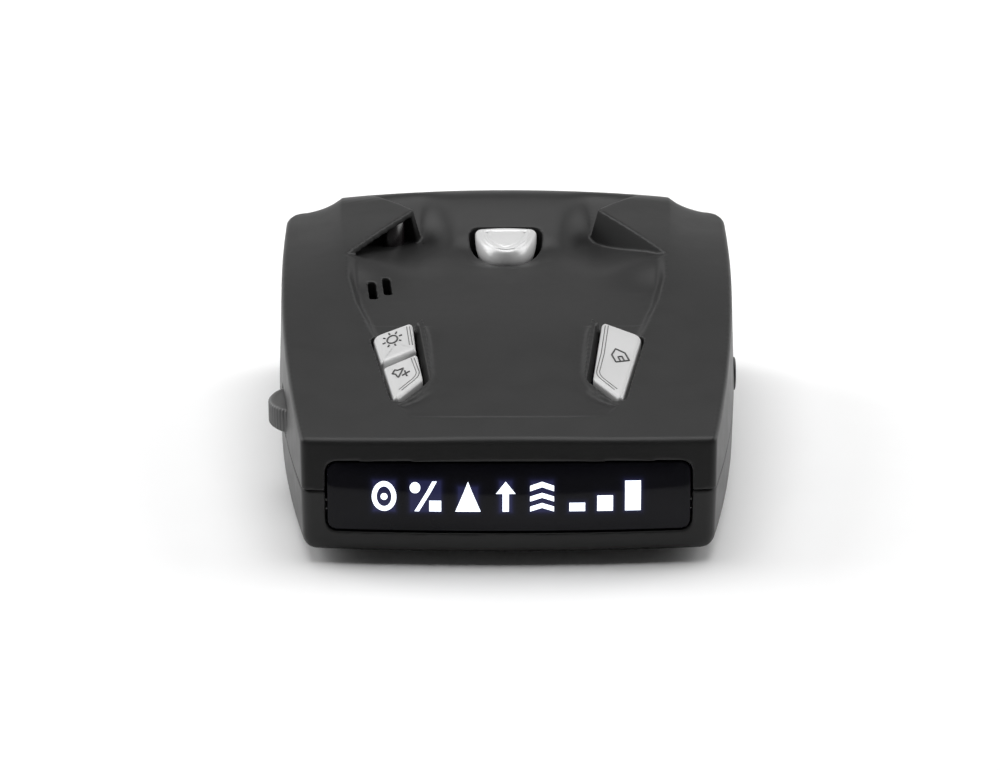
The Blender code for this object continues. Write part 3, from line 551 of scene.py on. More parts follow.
def window_acrylic():
    """Smoked gloss acrylic: faint smears, and a soft glow in it round each lit symbol."""
    made, tree, shader = nodes_for("window_acrylic", (0.004, 0.004, 0.006), 0.07)
    shader.inputs["Specular IOR Level"].default_value = 0.14
    tree.links.new(spread(tree, noise(tree, 9.0, 5.0), 0.05, 0.12), shader.inputs["Roughness"])
    tint(tree, shader, noise(tree, 20.0, 2.0), (0.003, 0.003, 0.005), (0.007, 0.007, 0.010))
    bump(tree, shader, noise(tree, 6.0, 2.0), 0.004)
    place = tree.nodes.new("ShaderNodeTexCoord")
    split = tree.nodes.new("ShaderNodeSeparateXYZ")
    tree.links.new(place.outputs["Object"], split.inputs["Vector"])

    def calculate(operation, *values):
        node = tree.nodes.new("ShaderNodeMath")
        node.operation = operation
        for socket, value in zip(node.inputs, values):
            if isinstance(value, float):
                socket.default_value = value
            else:
                tree.links.new(value, socket)
        return node.outputs[0]

    glow = None
    for x, half, top in SYMBOL_BOXES:
        middle, tall = (SYMBOL_LOW + top) / 2, (top - SYMBOL_LOW) / 2
        off_x = calculate("ABSOLUTE", calculate("SUBTRACT", split.outputs["X"], x * MM))
        off_z = calculate("ABSOLUTE", calculate("SUBTRACT", split.outputs["Z"], middle * MM))
        out_x = calculate("MAXIMUM", calculate("SUBTRACT", off_x, half * MM), 0.0)
        out_z = calculate("MAXIMUM", calculate("SUBTRACT", off_z, tall * MM), 0.0)
        reach = calculate("SQRT", calculate("ADD", calculate("MULTIPLY", out_x, out_x),
                                            calculate("MULTIPLY", out_z, out_z)))
        shine = calculate("POWER", math.e, calculate("MULTIPLY", reach, -1 / (GLOW_REACH * MM)))
        glow = shine if glow is None else calculate("MAXIMUM", glow, shine)
    strength = calculate("MULTIPLY", glow, GLOW_STRENGTH)
    tree.links.new(strength, shader.inputs["Emission Strength"])
    shader.inputs["Emission Color"].default_value = (0.28, 0.3, 1.0, 1.0)
    return made


def lit(name, colour, strength):
    """Glowing symbol with a faintly uneven brightness."""
    made, tree, shader = nodes_for(name, colour, 0.3)
    shader.inputs["Emission Color"].default_value = (*colour, 1.0)
    brightness = spread(tree, noise(tree, 1.5, 2.0), strength * 0.92, strength)
    tree.links.new(brightness, shader.inputs["Emission Strength"])
    return made


FINISH = {
    "case": surface("case_soft_touch", (0.016, 0.016, 0.016), 0.40, grain=0.22, relief=0.006,
                    mottle=0.05, swing=0.03, specular=0.25),
    "base": surface("base_plastic", (0.017, 0.017, 0.017), 0.38, grain=0.25, relief=0.008,
                    mottle=0.05, swing=0.03, specular=0.22),
    "silver": surface("satin_silver_paint", (0.60, 0.60, 0.60), 0.38, 0.12, grain=0.10, relief=0.004,
                      mottle=0.04, swing=0.04),
    "bright_silver": surface("bright_silver_paint", (0.70, 0.70, 0.70), 0.32, 0.2, grain=0.12, relief=0.003,
                             mottle=0.04, swing=0.03),
    "wheel": surface("wheel_plastic", (0.085, 0.085, 0.085), 0.42, grain=0.2, relief=0.01),
    "ink": surface("engraved_ink", (0.05, 0.05, 0.05), 0.6, grain=0.1, relief=0.003),
    "lens": surface("infrared_filter", (0.012, 0.009, 0.010), 0.24, grain=3.0, relief=0.003, mottle=0.2,
                    swing=0.03),
    "rubber": surface("foot_rubber", (0.018, 0.018, 0.018), 0.8, grain=0.35, relief=0.03, mottle=0.25),
    "label": surface("label_film", (0.50, 0.50, 0.49), 0.38, grain=0.5, relief=0.004, mottle=0.05),
    "socket": surface("socket_plastic", (0.022, 0.022, 0.022), 0.5, grain=0.3, relief=0.015),
    "chip": surface("moulded_resin", (0.018, 0.018, 0.020), 0.55, grain=0.15, relief=0.01),
    "steel": surface("plated_steel", (0.58, 0.58, 0.57), 0.28, 1.0, grain=0.25, relief=0.006,
                     mottle=0.06, stretch=(1, 8, 1)),
    "tin": surface("tinned_steel", (0.66, 0.66, 0.65), 0.33, 1.0, grain=0.4, relief=0.008,
                   stretch=(6, 1, 1)),
    "brass": surface("plated_brass", (0.78, 0.56, 0.22), 0.25, 1.0, grain=0.2, relief=0.004),
    "die_cast": surface("die_cast_zinc", (0.50, 0.50, 0.51), 0.48, 1.0, grain=0.5, relief=0.03),
    "ferrite": surface("ferrite", (0.05, 0.05, 0.052), 0.5, 0.4, grain=0.3, relief=0.02),
    "paper": surface("pressed_paper", (0.06, 0.055, 0.05), 0.9, grain=0.5, relief=0.05, mottle=0.3),
    "sleeve": surface("shrink_sleeve", (0.03, 0.05, 0.22), 0.35, grain=1.0, relief=0.01),
    "plunger": surface("ivory_plastic", (0.62, 0.58, 0.48), 0.45, grain=0.3, relief=0.01),
    "red": surface("red_insulation", (0.45, 0.02, 0.02), 0.4, grain=0.5, relief=0.01),
    "black": surface("black_insulation", (0.02, 0.02, 0.02), 0.4, grain=0.5, relief=0.01),
    "panel": surface("display_glass", (0.02, 0.02, 0.03), 0.1, grain=4.0, relief=0.003, coat=0.5),
    "board": board_laminate(),
    "window": window_acrylic(),
    "symbol": lit("lit_symbol", (0.82, 0.88, 1.0), 1.5),
}

# The CAD nodes that are shown as they are, by their material.
CAD_FINISH = {
    "steel": "wheel_spindle release_spring board_screw_1 board_screw_2",
    "socket": "bracket_latch bracket_socket",
    "board": "main_board display_board laser_board mixer_board",
    "chip": "volume_pot board_header processor_chip amplifier_chip switch_dim_memo switch_mute switch_city",
    "panel": "display_panel",
    "lens": "front_photodiode rear_photodiode",
    "tin": "shield_can crystal speaker_frame",
    "sleeve": "capacitor_1 capacitor_2",
    "plunger": "plunger_dim_memo plunger_mute plunger_city",
    "brass": "jack_pin",
    "die_cast": "microwave_horn",
    "ferrite": "speaker_magnet",
    "paper": "speaker_cone",
    "red": "speaker_wire_red",
    "black": "speaker_wire_black",
}


def finish_cad_nodes():
    for finish, nodes in CAD_FINISH.items():
        for node in nodes.split():
            mesh = frame["nodes"][node].data
            mesh.materials.clear()
            mesh.materials.append(FINISH[finish])


# ---------- the case

def plan(column, row, z, inset):
    """Point of the case's plan: column -1..1 across, row 0..1 from front to rear."""
    x, y = 20.0 * column, CASE_REAR * row
    for _ in range(8):
        y_front, y_rear = front(x, z) + inset, rear(x) - inset
        y = y_front + (y_rear - y_front) * row
        half = side(y) - inset
        inner = min(ridge(y), half - 3)
        share = abs(column)
        reach = inner * share / 0.7 if share <= 0.7 else inner + (half - inner) * (share - 0.7) / 0.3
        x = math.copysign(reach, column)
    return x, y


COLUMNS = [k / 30 for k in range(-30, 31)]
ROWS = [k / 64 for k in range(65)]


def hull_top(column, row):
    x, y = plan(column, row, PARTING_Z + UPPER_RISE, 0.0)
    x -= math.copysign(draft(y), column) * abs(column)
    return x, y, hood(x, y)


def window_slab(name, half, low, high, near, far, round_by, columns=24):
    """Slab behind the bowed front face: its front leans as the face does, its back is upright."""
    def face(depth, leaning):
        def point(column, row):
            x, z = half * column, low + (high - low) * row
            return x, front(x, z if leaning else PARTING_Z) + depth, z
        return point
    spread_out = [-1 + 2 * k / columns for k in range(columns + 1)]
    share = (PARTING_Z - low) / (high - low)
    rows = [0, share * 0.5, share, (1 + share) / 2, 1]
    slab = loft(name, face(near, True), face(far, False), spread_out, rows,
                {"upper": 0.0, "lower": 0.0, "wall": 1.0})
    bevel(slab, round_by, 6)
    return slab


def valley_cutter():
    """Cutter for the valley; a column is (side, distance in from the edge, share to the centre)."""
    beyond_banks = 9.0
    edge = [0, 0.15, 0.45, 0.75, 1.05, 1.35, 1.6, 1.9, 2.3, 2.8, 3.4, 4.0]
    rest = [k / 28 for k in range(1, 28)]
    half = [(d, 0.0) for d in edge] + [(4.0, f) for f in rest]
    columns = [(-1, *h) for h in half] + [(1, 4.0, 1.0)] + [(1, *h) for h in reversed(half)]

    def place(column, row, lean):
        sign, away, toward = column
        return sign * (valley_half(row) + lean - away) * (1 - toward), row

    def upper(column, row):
        return *place(column, row, horn_lean(row) * (ABOVE - hood(valley_half(row), row))), ABOVE

    def lower(column, row):
        half = valley_half(row)
        x, y = place(column, row, -horn_lean(row) * (hood(half, row) - valley(half, row)))
        _, away, toward = column
        return x, y, trench(x, y, away if toward == 0 else beyond_banks)

    rows = [2 + 0.6 * k for k in range(149)]
    rows += [8.6, 11.3, 30.5, 37.0, 37.14, 37.16, 37.3, 60.0, 77.0]
    return loft("valley_cut", upper, lower, columns, sorted(set(rows)))


def notch_behind_button(mirror):
    """The valley reaches the button's rear edge, between the bezel and the ridge."""
    corners = [(12.5, 37.5), (14.2, 35.6), (20.4, 31.4), (22.0, 37.5)]

    def place(column, row):
        (ax, ay), (bx, by), (cx, cy), (dx, dy) = corners
        x = (ax * (1 - row) + bx * row) * (1 - column) + (dx * (1 - row) + cx * row) * column
        y = (ay * (1 - row) + by * row) * (1 - column) + (dy * (1 - row) + cy * row) * column
        return mirror * x, y

    def lower(column, row):
        x, y = place(column, row)
        away = 20.4 + (y - 31.4) * 0.26 - abs(x)
        z = valley(x, y)
        return x, y, z + 0.03 + (hood(x, y) - z) * ease(1 - away / RIDGE_BANK)

    steps = [k / 16 for k in range(17)]
    return loft("notch", lambda c, r: (*place(c, r), ABOVE), lower, steps, steps)


def button_outline():
    """Outline of the right push button; the two on the left share its mirror image."""
    corners = [(14.3, 36.0), (20.2, 31.6), (16.45, 12.2), (12.4, 18.6)]
    return resampled(rounded(corners, [0.6, 2.2, 0.5, 1.6]), 0.6)


def release_outline(radius, back, corner):
    """Shield shape: a long round front and a straight back edge."""
    widest_y, nose = 72.2, 3.2
    turns = [math.pi + math.pi * k / 24 for k in range(25)]
    arc = [(radius * math.cos(a), widest_y + (radius + nose) * math.sin(a)) for a in turns]
    return arc + rounded([(radius, 70.0), (radius, back), (-radius, back), (-radius, 70.0)],
                         [0.01, corner, corner, 0.01], 6)[7:21]


def along_horn(distance, depth):
    """Plan point beside the left horn's inner wall: distance from its tip, depth into the horn."""
    dx, dy = unit(HORN_END[0] - HORN_TIP[0], HORN_END[1] - HORN_TIP[1])
    x = HORN_TIP[0] + dx * distance - dy * depth
    return -x, HORN_TIP[1] + dy * distance + dx * depth


def horn_opening():
    """Three-sided opening in the left horn's wall, from the valley floor up to the beam."""
    def face(lower):
        def point(column, row):
            distance = 1.0 + 16.5 * row
            wall_x, wall_y = along_horn(distance, 0)
            low = valley(wall_x, wall_y) - 0.25
            high = max(hood(wall_x, wall_y) - 1.05, low + 0.25)
            z = low if lower else high
            lean = HORN_SLOPE * (hood(wall_x, wall_y) - z)
            x, y = along_horn(distance - 0.35 * lean, -2.5 + 6.5 * column)
            return x, y, z
        return point
    return loft("horn_opening", face(False), face(True), [0, 0.5, 1], [k / 8 for k in range(9)])


def bezel_groove(side_sign):
    """Sloping band round a push button's inner and front edges, down to its gap."""
    outline = button_outline()

    def reach(across):
        return BUTTON_GAP + 0.55 * ease((-across - 0.15) / 0.5)

    narrow, wide = grown(outline, BUTTON_GAP), grown(outline, reach)
    loops = [[(side_sign * x, y, hood(x, y) - 1.5) for x, y in narrow],
             [(side_sign * x, y, hood(x, y) - 0.02) for x, y in wide],
             [(side_sign * x, y, ABOVE) for x, y in wide]]
    return loose(rings("bezel_groove", loops))


def drum(name, centre, radius, low, high, segments=64):
    profile = [(radius, low), (radius, high)]
    return loose(turned(name, profile, (*centre, 0.0), segments=segments))


def ball(name, centre, radii):
    bm = bmesh.new()
    bmesh.ops.create_uvsphere(bm, u_segments=40, v_segments=24, radius=1.0)
    for vertex in bm.verts:
        vertex.co = world(*[centre[i] + vertex.co[i] * radii[i] for i in range(3)])
    return loose(to_mesh(name, bm))


def shared_cuts():
    """Openings that cross the parting line."""
    window = window_slab("window_opening", WINDOW_HALF + 0.3, WINDOW_LOW - 0.3,
                         WINDOW_HIGH + 0.3, -4.0, 4.5, round_by=1.7)
    return [window,
            drum("wheel_opening", WHEEL, WHEEL_RADIUS + 0.45, 10.7, WHEEL_HIGH + 0.45, 96),
            drum("pot_relief", WHEEL, 2.7, 8.4, 10.8),
            ball("wheel_scoop", (-37.0, 33.4, 13.4), (2.5, 5.2, 2.1)),
            loose(turned("jack_opening", [(2.85, 30.0), (2.85, 40.0)], (0.0, JACK_Y, JACK_Z), "X"))]


def top_shell():
    hull = loft("top_shell", hull_top,
                lambda c, r: (*plan(c, r, PARTING_Z, 0.0), PARTING_Z + PARTING_GAP),
                COLUMNS, ROWS, {"upper": 0.75, "lower": 0.0, "wall": 1.0})
    bevel(hull, 1.6, 4)
    cavity = loft("cavity", lambda c, r: under_roof(*plan(c, r, PARTING_Z, 2.2)),
                  lambda c, r: (*plan(c, r, PARTING_Z, 2.2), PARTING_Z - 3), COLUMNS[::6], ROWS[::8])
    cuts = [cavity, valley_cutter(), notch_behind_button(1), notch_behind_button(-1)] + shared_cuts()
    pocket = grown(button_outline(), BUTTON_GAP)
    for name, outline, floor in (("right_pocket", pocket, 12),
                                 ("left_pocket", mirrored(pocket), 12),
                                 ("release_pocket", release_outline(5.85, 74.6, 1.4), 14)):
        cuts.append(loose(prism(name, outline, floor, ABOVE)))
    for x, y in ((-20.8, 51.0), (-18.6, 52.6)):
        ends = [(x - 0.9, y + 2.9), (x + 0.34, y + 2.9), (x + 0.9, y - 2.9), (x - 0.34, y - 2.9)]
        cuts.append(loose(prism("speaker_slit", rounded(ends, [0.3] * 4), 18, ABOVE)))
    cuts.append(loose(block("socket_opening", (-12.15, 78.85, 17.0), (12.15, 96, 25.0))))
    cuts.append(loose(block("front_lens_opening", (17.7, 83.0, 12.5), (26.3, 93.0, 18.1), -16)))
    cuts += [horn_opening(), bezel_groove(1), bezel_groove(-1)]
    show("top_shell", carve(hull, cuts), "case", "top_housing", finish=FINISH["case"], angle=180)


def under_roof(x, y):
    return x, y, floor_line(y) - 2.0


def bottom_shell():
    columns = [c for c in COLUMNS if abs(c) < 0.91 or abs(c) == 1]
    rows = [r for r in ROWS if 0.035 < r < 0.965 or r in (0, 1)]
    hull = loft("bottom_shell",
                lambda c, r: (*plan(c, r, PARTING_Z, 0.0), PARTING_Z - PARTING_GAP),
                lambda c, r: (*plan(c, r, FOOT_HEIGHT, 0.2), FOOT_HEIGHT), columns, rows,
                {"upper": 0.0, "lower": 0.8, "wall": 0.6})
    bevel(hull, 2.6, 5)

    def inner(height):
        return lambda c, r: (*plan(c, r, PARTING_Z, 2.0), height)

    cuts = [loft("tub", inner(PARTING_Z + 2), inner(3.5), COLUMNS[::6], ROWS[::8])]
    cuts += shared_cuts()
    for foot in FEET:
        cuts.append(drum("recess", middle_of(foot), 3.8, -1, 2.2))
    for screw in CASE_SCREWS:
        cuts.append(drum("screw_well", middle_of(screw), 2.45, -1, 6.0))
    cuts.append(loose(block("label_recess", (-17.3, 30.7, -1), (17.3, 53.3, 1.9))))
    show("bottom_shell", carve(hull, cuts), "case", "bottom_housing", finish=FINISH["base"],
         angle=180)


def middle_of(node):
    """Plan centre of a CAD node, in the design frame."""
    low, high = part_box(node)
    return (low[0] + high[0]) / 2 / MM, (low[1] + high[1]) / 2 / MM + REAR_SHIFT


# ---------- window and display

def display():
    slab = window_slab("window", WINDOW_HALF, WINDOW_LOW, WINDOW_HIGH, WINDOW_DEPTH, 2.9,
                       round_by=1.5, columns=40)
    edges = slab.modifiers.new("edges", "BEVEL")
    edges.limit_method = "ANGLE"
    edges.angle_limit = math.radians(50)
    edges.width = 0.18 * MM
    edges.segments = 2
    show("window", settled(slab), "case", "display_window", finish=FINISH["window"])
    for i, outline in enumerate(symbols()):
        show(f"symbol_{i + 1}", decal(f"symbol_{i + 1}", outline), "case", finish=FINISH["symbol"])


def on_window(x, z, proud):
    return x, front(x, z) + WINDOW_DEPTH - proud, z


def decal(name, outline):
    """Thin lit plate that follows the window's face; outline is (x, z) points."""
    bm = bmesh.new()
    bm.faces.new([bm.verts.new((x, 0.0, z)) for x, z in outline])
    bm.normal_update()
    bmesh.ops.triangulate(bm, faces=bm.faces)
    xs, zs = [x for x, _ in outline], [z for _, z in outline]
    for axis, low, high in ((0, min(xs), max(xs)), (2, min(zs), max(zs))):
        steps = math.ceil((high - low) / 0.45)
        for k in range(1, steps):
            point, normal = [0.0] * 3, [0.0] * 3
            point[axis] = low + (high - low) * k / steps
            normal[axis] = 1.0
            everything = list(bm.verts) + list(bm.edges) + list(bm.faces)
            bmesh.ops.bisect_plane(bm, geom=everything, dist=1e-5, plane_co=point,
                                   plane_no=normal)
    far = bmesh.ops.extrude_face_region(bm, geom=list(bm.faces))["geom"]
    far = {v for v in far if isinstance(v, bmesh.types.BMVert)}
    for vertex in bm.verts:
        proud = -0.12 if vertex in far else 0.04
        vertex.co = world(*on_window(vertex.co.x, vertex.co.z, proud))
    return to_mesh(name, bm)


def symbols():
    """Plain indicator symbols in (x, z): echo ring, link, alert, arrow, chevrons and three bars."""
    z = SYMBOL_MIDDLE
    low, high = SYMBOL_LOW, SYMBOL_HIGH
    shapes = [ring_outline(-17.7, z, (1.75, 2.15), (1.05, 1.45)), circle_outline(-17.7, z, 0.5)]
    shapes.append([(-13.4, low), (-12.75, low), (-10.2, high), (-10.85, high)])
    shapes.append(circle_outline(-13.3, high - 0.85, 0.75))
    shapes.append([(-11.3, low), (-9.6, low), (-9.6, low + 1.6), (-11.3, low + 1.6)])
    shapes.append([(-7.6, low), (-4.0, low), (-5.8, high)])
    shapes.append([(-0.9, low), (0.0, low), (0.0, z + 0.5), (0.95, z + 0.5), (-0.45, high),
                   (-1.85, z + 0.5), (-0.9, z + 0.5)])
    for lift in (0.0, 1.5, 3.0):
        base = low + lift
        shapes.append([(3.0, base), (4.7, base + 0.55), (6.4, base), (6.4, base + 0.72),
                       (4.7, base + 1.27), (3.0, base + 0.72)])
    for x, top in BARS:
        left, right = x - BAR_HALF, x + BAR_HALF
        shapes.append([(left, low), (right, low), (right, top), (left, top)])
    return shapes


def circle_outline(x, z, radius):
    turn = [math.tau * k / 24 for k in range(24)]
    return [(x + radius * math.cos(a), z + radius * math.sin(a)) for a in turn]


def ring_outline(x, z, outer, inner):
    """Oval ring drawn as one outline, nearly closed."""
    gap = 0.01
    turn = [gap + (math.tau - 2 * gap) * k / 40 for k in range(41)]
    out = [(x + outer[0] * math.cos(a), z + outer[1] * math.sin(a)) for a in turn]
    back = [(x + inner[0] * math.cos(a), z + inner[1] * math.sin(a)) for a in reversed(turn)]
    return out + back


# ---------- buttons

def cap(body, outline):
    """Push button cap whose face follows the hood, with a rounded rim."""
    centre = [sum(values) / len(outline) for values in zip(*outline)]
    loops = [[(x, y, 17.4) for x, y in outline]]
    for inset, drop in ((0.0, 0.62), (0.05, 0.38), (0.16, 0.2), (0.33, 0.07), (0.55, 0.01)):
        loops.append([(x, y, hood(x, y) + CAP_PROUD - drop) for x, y in grown(outline, -inset)])
    inner = grown(outline, -0.55)
    for share in (0.85, 0.7, 0.55, 0.4, 0.25, 0.1):
        loops.append([(x, y, hood(x, y) + CAP_PROUD) for x, y in scaled(inner, share, centre)])
    show(f"{body}_cap", rings(f"{body}_cap", loops), body, f"{body}_button",
         finish=FINISH["silver"], angle=50)


def hairline(name, body, points, radius):
    """Fine dark line lying on a button's face."""
    curve = bpy.data.curves.new(name, "CURVE")
    curve.dimensions = "3D"
    curve.bevel_depth = radius * MM
    curve.bevel_resolution = 1
    curve.use_fill_caps = True
    spline = curve.splines.new("POLY")
    spline.points.add(len(points) - 1)
    for knot, (x, y) in zip(spline.points, points):
        knot.co = (*world(x, y, hood(x, y) + CAP_PROUD), 1.0)
    show(name, settled(add_object(name, curve)), body, finish=FINISH["ink"])


def edge_lines(body, corners, mirror):
    """Two fine lines beside a button's inner and front edges."""
    for i, inset in enumerate((0.55, 1.0)):
        path = [(mirror * x, y) for x, y in inset_path(corners, inset)]
        hairline(f"{body}_line_{i + 1}", body, resampled(path, 0.4, closed=False), 0.06)


def inset_path(corners, inset):
    """Open path moved sideways, to its right, by inset."""
    moved = []
    for i, (x, y) in enumerate(corners):
        ahead, behind = corners[min(i + 1, len(corners) - 1)], corners[max(i - 1, 0)]
        along = unit(ahead[0] - behind[0], ahead[1] - behind[1])
        moved.append((x - along[1] * inset, y + along[0] * inset))
    return moved


def symbol_strokes(body, middle, tilt, strokes, size):
    """Plain symbol of line strokes, turned by tilt degrees round its middle."""
    c, s = math.cos(math.radians(tilt)), math.sin(math.radians(tilt))
    for i, stroke in enumerate(strokes):
        placed = [(middle[0] + size * (x * c - 1.7 * y * s),
                   middle[1] + size * (x * s + 1.7 * y * c)) for x, y in stroke]
        hairline(f"{body}_stroke_{i + 1}", body, resampled(placed, 0.3, closed=False), 0.14)


def push_buttons():
    rear = rounded([(14.3, 36.0), (20.2, 31.6), (18.65, 23.3), (13.6, 27.4)], [0.6, 2.2, 0.4, 0.4])
    fore = rounded([(13.4, 26.2), (18.3, 22.1), (16.45, 12.2), (12.4, 18.6)], [0.4, 0.4, 0.5, 1.6])
    cap("city", button_outline())
    cap("dim_memo", mirrored(resampled(rear, 0.6)))
    cap("mute", mirrored(resampled(fore, 0.6)))
    bend = [(12.45, 20.6), (12.5, 19.6), (12.75, 18.7), (13.2, 17.8), (15.0, 14.9)]
    edge_lines("city", [(14.2, 34.6), (13.3, 26.0)] + bend, 1)
    edge_lines("dim_memo", [(14.15, 34.4), (13.6, 28.8)], -1)
    edge_lines("mute", [(13.3, 24.8)] + bend, -1)
    circle = [(math.cos(math.tau * k / 20), math.sin(math.tau * k / 20)) for k in range(21)]
    rays = [[(1.45 * math.cos(a), 1.45 * math.sin(a)), (1.95 * math.cos(a), 1.95 * math.sin(a))]
            for a in [math.tau * k / 8 for k in range(8)]]
    symbol_strokes("dim_memo", (-17.2, 30.4), -14, [circle] + rays, 0.72)
    speaker = [(-1.3, -0.5), (-0.6, -0.5), (0.3, -1.2), (0.3, 1.2), (-0.6, 0.5), (-1.3, 0.5),
               (-1.3, -0.5)]
    cross = [[(0.9, -0.6), (1.9, 0.6)], [(0.9, 0.6), (1.9, -0.6)]]
    symbol_strokes("mute", (-15.9, 20.3), -14, [speaker] + cross, 0.7)
    house = [(-1.2, -1.3), (-1.2, 0.3), (0.0, 1.4), (1.2, 0.3), (1.2, -1.3), (-1.2, -1.3)]
    door = [(-0.35, -1.3), (-0.35, -0.3), (0.35, -0.3), (0.35, -1.3)]
    symbol_strokes("city", (16.5, 25.4), 14, [house, door], 0.85)


def release_cap():
    """Release button: bright rounded skirt, rimmed plateau and a sunken shield."""
    base = resampled(release_outline(4.95, 73.8, 0.9), 0.4)
    centre = (0.0, 70.2)
    front_y, front_z, slope = 64.1, 25.7, 0.125

    def face(x, y, drop):
        return front_z + slope * (y - front_y) - 0.012 * x * x - drop

    def shield(points, share):
        """Narrows towards the front into a rounded point."""
        made = []
        for x, y in scaled(points, share, centre):
            forward = max(0.0, (centre[1] - y) / 4.0)
            made.append((x * (1 - 0.2 * forward), y))
        return made

    loops = [[(x, y, 21.5) for x, y in grown(base, -0.6)]]
    skirt = ((0.4, 3.8), (0.12, 3.1), (0.0, 2.5), (0.06, 1.9), (0.18, 1.4), (0.34, 1.0),
             (0.5, 0.72), (0.64, 0.5), (0.8, 0.35), (0.98, 0.25), (1.08, 0.22), (1.14, 0.08),
             (1.24, 0.01), (1.42, 0.0), (1.54, 0.04), (1.62, 0.14), (1.7, 0.17))
    for inset, drop in skirt:
        loops.append([(x, y, face(x, y, drop * (0.3 + 0.7 * ease((73.8 - y) / 6.0))))
                      for x, y in grown(base, -inset)])
    inner = grown(base, -1.7)
    plateau = ((0.93, 0.17), (0.9, 0.15), (0.87, 0.08), (0.84, 0.06), (0.6, 0.05), (0.35, 0.04),
               (0.12, 0.04))
    for share, drop in plateau:
        loops.append([(x, y, face(x, y, drop)) for x, y in shield(inner, share)])
    show("release_cap", rings("release_cap", loops), "release", "release_button",
         finish=FINISH["bright_silver"], angle=60)


def volume_knob():
    """Thumbwheel with a finely ribbed rim and turned faces."""
    teeth = 60

    def level(radius, z, rib):
        loop = []
        for k in range(teeth * 4):
            angle = math.tau * k / (teeth * 4)
            r = radius - rib * (0.5 + 0.5 * math.cos(teeth * angle)) ** 2
            loop.append((WHEEL[0] + r * math.cos(angle), WHEEL[1] + r * math.sin(angle), z))
        return loop

    profile = [(0.5, 14.86, 0), (1.5, 14.86, 0), (1.7, 14.96, 0)]
    profile += [(1.9 + 0.3 * k, 14.97 if k % 2 else 14.93, 0) for k in range(12)]
    profile += [(5.75, WHEEL_HIGH, 0), (5.98, 14.94, 0.03), (6.12, 14.78, 0.08),
                (WHEEL_RADIUS, 14.6, 0.17), (WHEEL_RADIUS, 11.6, 0.17), (6.12, 11.42, 0.08),
                (5.9, 11.24, 0.02), (5.6, WHEEL_LOW, 0), (1.4, WHEEL_LOW, 0), (1.4, 14.3, 0),
                (0.5, 14.3, 0)]
    knob = rings("volume_knob", [level(*ring) for ring in profile])
    show("volume_knob", knob, "volume", "volume_wheel", finish=FINISH["wheel"], angle=60)


# ---------- small fittings

def lenses():
    glass = block("front_lens", (18.0, 85.9, 12.8), (26.0, 88.1, 17.8), -16, 0.5)
    show("front_lens", glass, "case", "front_laser_lens", finish=FINISH["lens"], angle=60)
    low = 22.6
    loops = []
    for share, drop in ((0.0, 0.0), (0.97, 0.0), (1.0, 0.2)):
        loop = []
        for k in range(48):
            angle = math.tau * k / 48
            x, y = along_horn(3.1 + (2.5 - drop) * math.cos(angle),
                              1.9 + (1.5 - drop) * math.sin(angle))
            loop.append((x, y, low + (hood(x, y) - 0.9 - low) * share))
        loops.append(loop)
    show("rear_lens", rings("rear_lens", loops), "case", "rear_laser_lens",
         finish=FINISH["lens"], angle=60)


def feet():
    profile = [(2.9, 0.0), (3.2, 0.06), (3.42, 0.25), (3.5, 0.6), (3.5, 1.75), (3.35, 1.9)]
    for node in FEET:
        pad = turned(node, profile, (*middle_of(node), 0.0))
        show(node + "_pad", pad, "case", node, finish=FINISH["rubber"])


def case_screws():
    """Pan heads with a cross recess."""
    profile = [(0.02, 4.12), (1.0, 4.18), (1.6, 4.36), (1.95, 4.7), (2.1, 5.1), (2.1, 5.7),
               (1.1, 5.72), (1.1, 15.6), (0.4, 16.5)]
    for node in CASE_SCREWS:
        x, y = middle_of(node)
        mesh = turned(node, profile, (x, y, 0.0), segments=40)
        for half_x, half_y in ((1.2, 0.28), (0.28, 1.2)):
            slot = block("cross", (x - half_x, y - half_y, 3.0), (x + half_x, y + half_y, 5.0))
            mesh = carve(loose(mesh), [loose(slot)], melted=False)
        show(node + "_head", mesh, "case", node, finish=FINISH["steel"])


def label():
    outline = rounded([(-17, 31), (17, 31), (17, 53), (-17, 53)], [1.5] * 4)
    plate = loose(prism("label", outline, 1.27, 1.6))
    show("blank_label", settled(plate), "case", "rating_label", finish=FINISH["label"])


def power_jack():
    """Collar with a rounded lip round the plug hole, on a plain body."""
    profile = [(0.2, -8.9), (1.75, -8.9), (1.75, -0.5), (1.85, -0.15), (2.05, 0.0), (2.4, 0.0),
               (2.56, -0.12), (2.6, -0.3), (2.6, -4.0), (3.4, -4.0), (3.4, -9.6), (0.2, -9.6)]
    collar = turned("jack_collar", profile, (JACK_REACH, JACK_Y, JACK_Z), "X", segments=56)
    piece = show("jack_collar", collar, "case", "dc_jack", finish=FINISH["socket"])


# ---------- stage

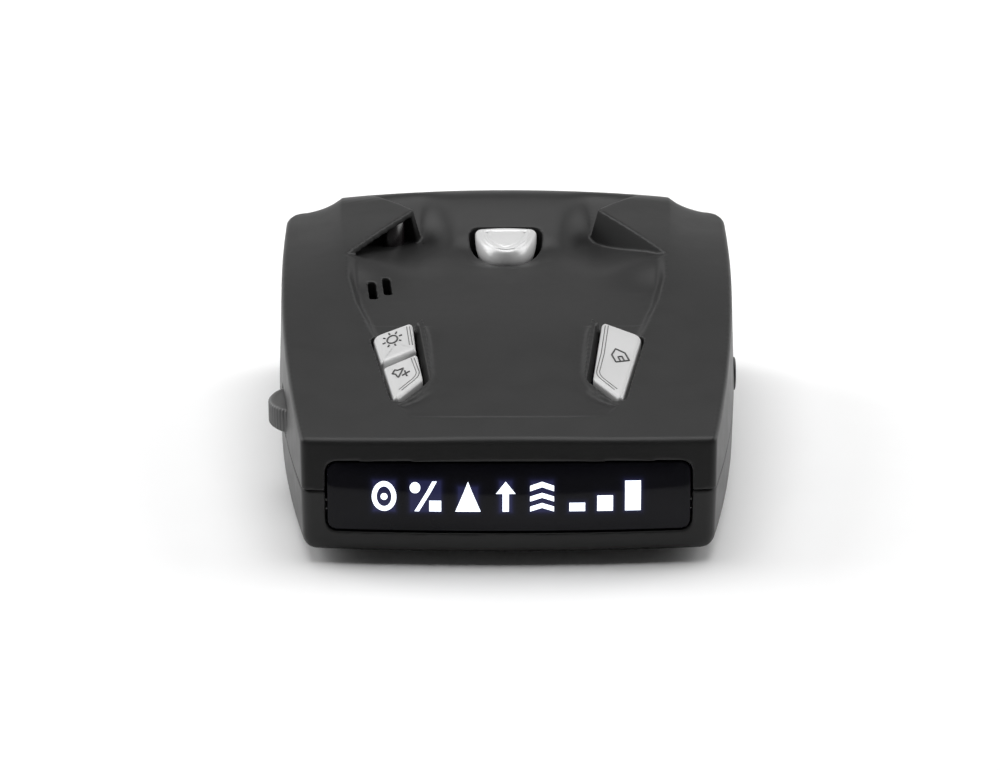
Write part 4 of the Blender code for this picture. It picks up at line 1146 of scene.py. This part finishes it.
def stage():
    bm = bmesh.new()
    bmesh.ops.create_grid(bm, x_segments=1, y_segments=1, size=4.0)
    floor = loose(to_mesh("floor", bm))
    floor.location.z = -0.0002
    paper = surface("floor_paper", (0.93, 0.93, 0.93), 0.9, grain=2.0, relief=0.01,
                    mottle=0.005, specular=0.1)
    floor.data.materials.append(paper)
    bpy.context.scene.view_settings.view_transform = "Standard"
    bpy.context.scene.world = studio_sky()
    soft_light("overhead", (0.0, 0.15, 0.8), size=0.8, power=6.3)
    soft_light("left", (-0.8, 0.3, 0.5), size=0.7, power=5.0)
    soft_light("right", (0.8, 0.3, 0.5), size=0.7, power=4.0)


def studio_sky():
    """White low down behind, dimmer higher up and in front."""
    sky = bpy.data.worlds.new("studio")
    sky.use_nodes = True
    tree = sky.node_tree
    place = tree.nodes.new("ShaderNodeTexCoord")
    split = tree.nodes.new("ShaderNodeSeparateXYZ")
    tree.links.new(place.outputs["Generated"], split.inputs["Vector"])
    climb = map_range(tree, split.outputs["Z"], (0.1, 0.6), (0.9, 0.12), "SMOOTHSTEP")
    behind = map_range(tree, split.outputs["Y"], (-0.3, 0.6), (0.25, 1.0), "SMOOTHSTEP")
    blend = tree.nodes.new("ShaderNodeMath")
    blend.operation = "MULTIPLY"
    tree.links.new(climb, blend.inputs[0])
    tree.links.new(behind, blend.inputs[1])
    background = tree.nodes["Background"]
    background.inputs["Color"].default_value = (1.0, 1.0, 1.0, 1.0)
    tree.links.new(blend.outputs["Value"], background.inputs["Strength"])
    return sky


def soft_light(name, place, size, power):
    """Square lamp that faces the origin."""
    lamp = bpy.data.lights.new(name, "AREA")
    lamp.size = size
    lamp.energy = power
    made = add_object(name, lamp)
    made.location = place
    made.rotation_euler = (Vector() - Vector(place)).to_track_quat("-Z", "Y").to_euler()


def camera():
    lens = bpy.data.cameras.new("camera")
    lens.lens = LENS
    lens.sensor_width = 36.0
    lens.shift_x, lens.shift_y = LENS_SHIFT
    lens.clip_start = 0.01
    made = add_object("camera", lens)
    turn, rise = math.radians(CAMERA_TURN), math.radians(CAMERA_RISE)
    back = Vector((math.sin(turn) * math.cos(rise), -math.cos(turn) * math.cos(rise),
                   math.sin(rise)))
    target = world(*CAMERA_TARGET)
    made.location = target + back * CAMERA_DISTANCE * MM
    made.rotation_euler = (-back).to_track_quat("-Z", "Y").to_euler()
    bpy.context.scene.camera = made


camera()
stage()
finish_cad_nodes()
top_shell()
bottom_shell()
display()
push_buttons()
release_cap()
volume_knob()
lenses()
feet()
case_screws()
label()
power_jack()
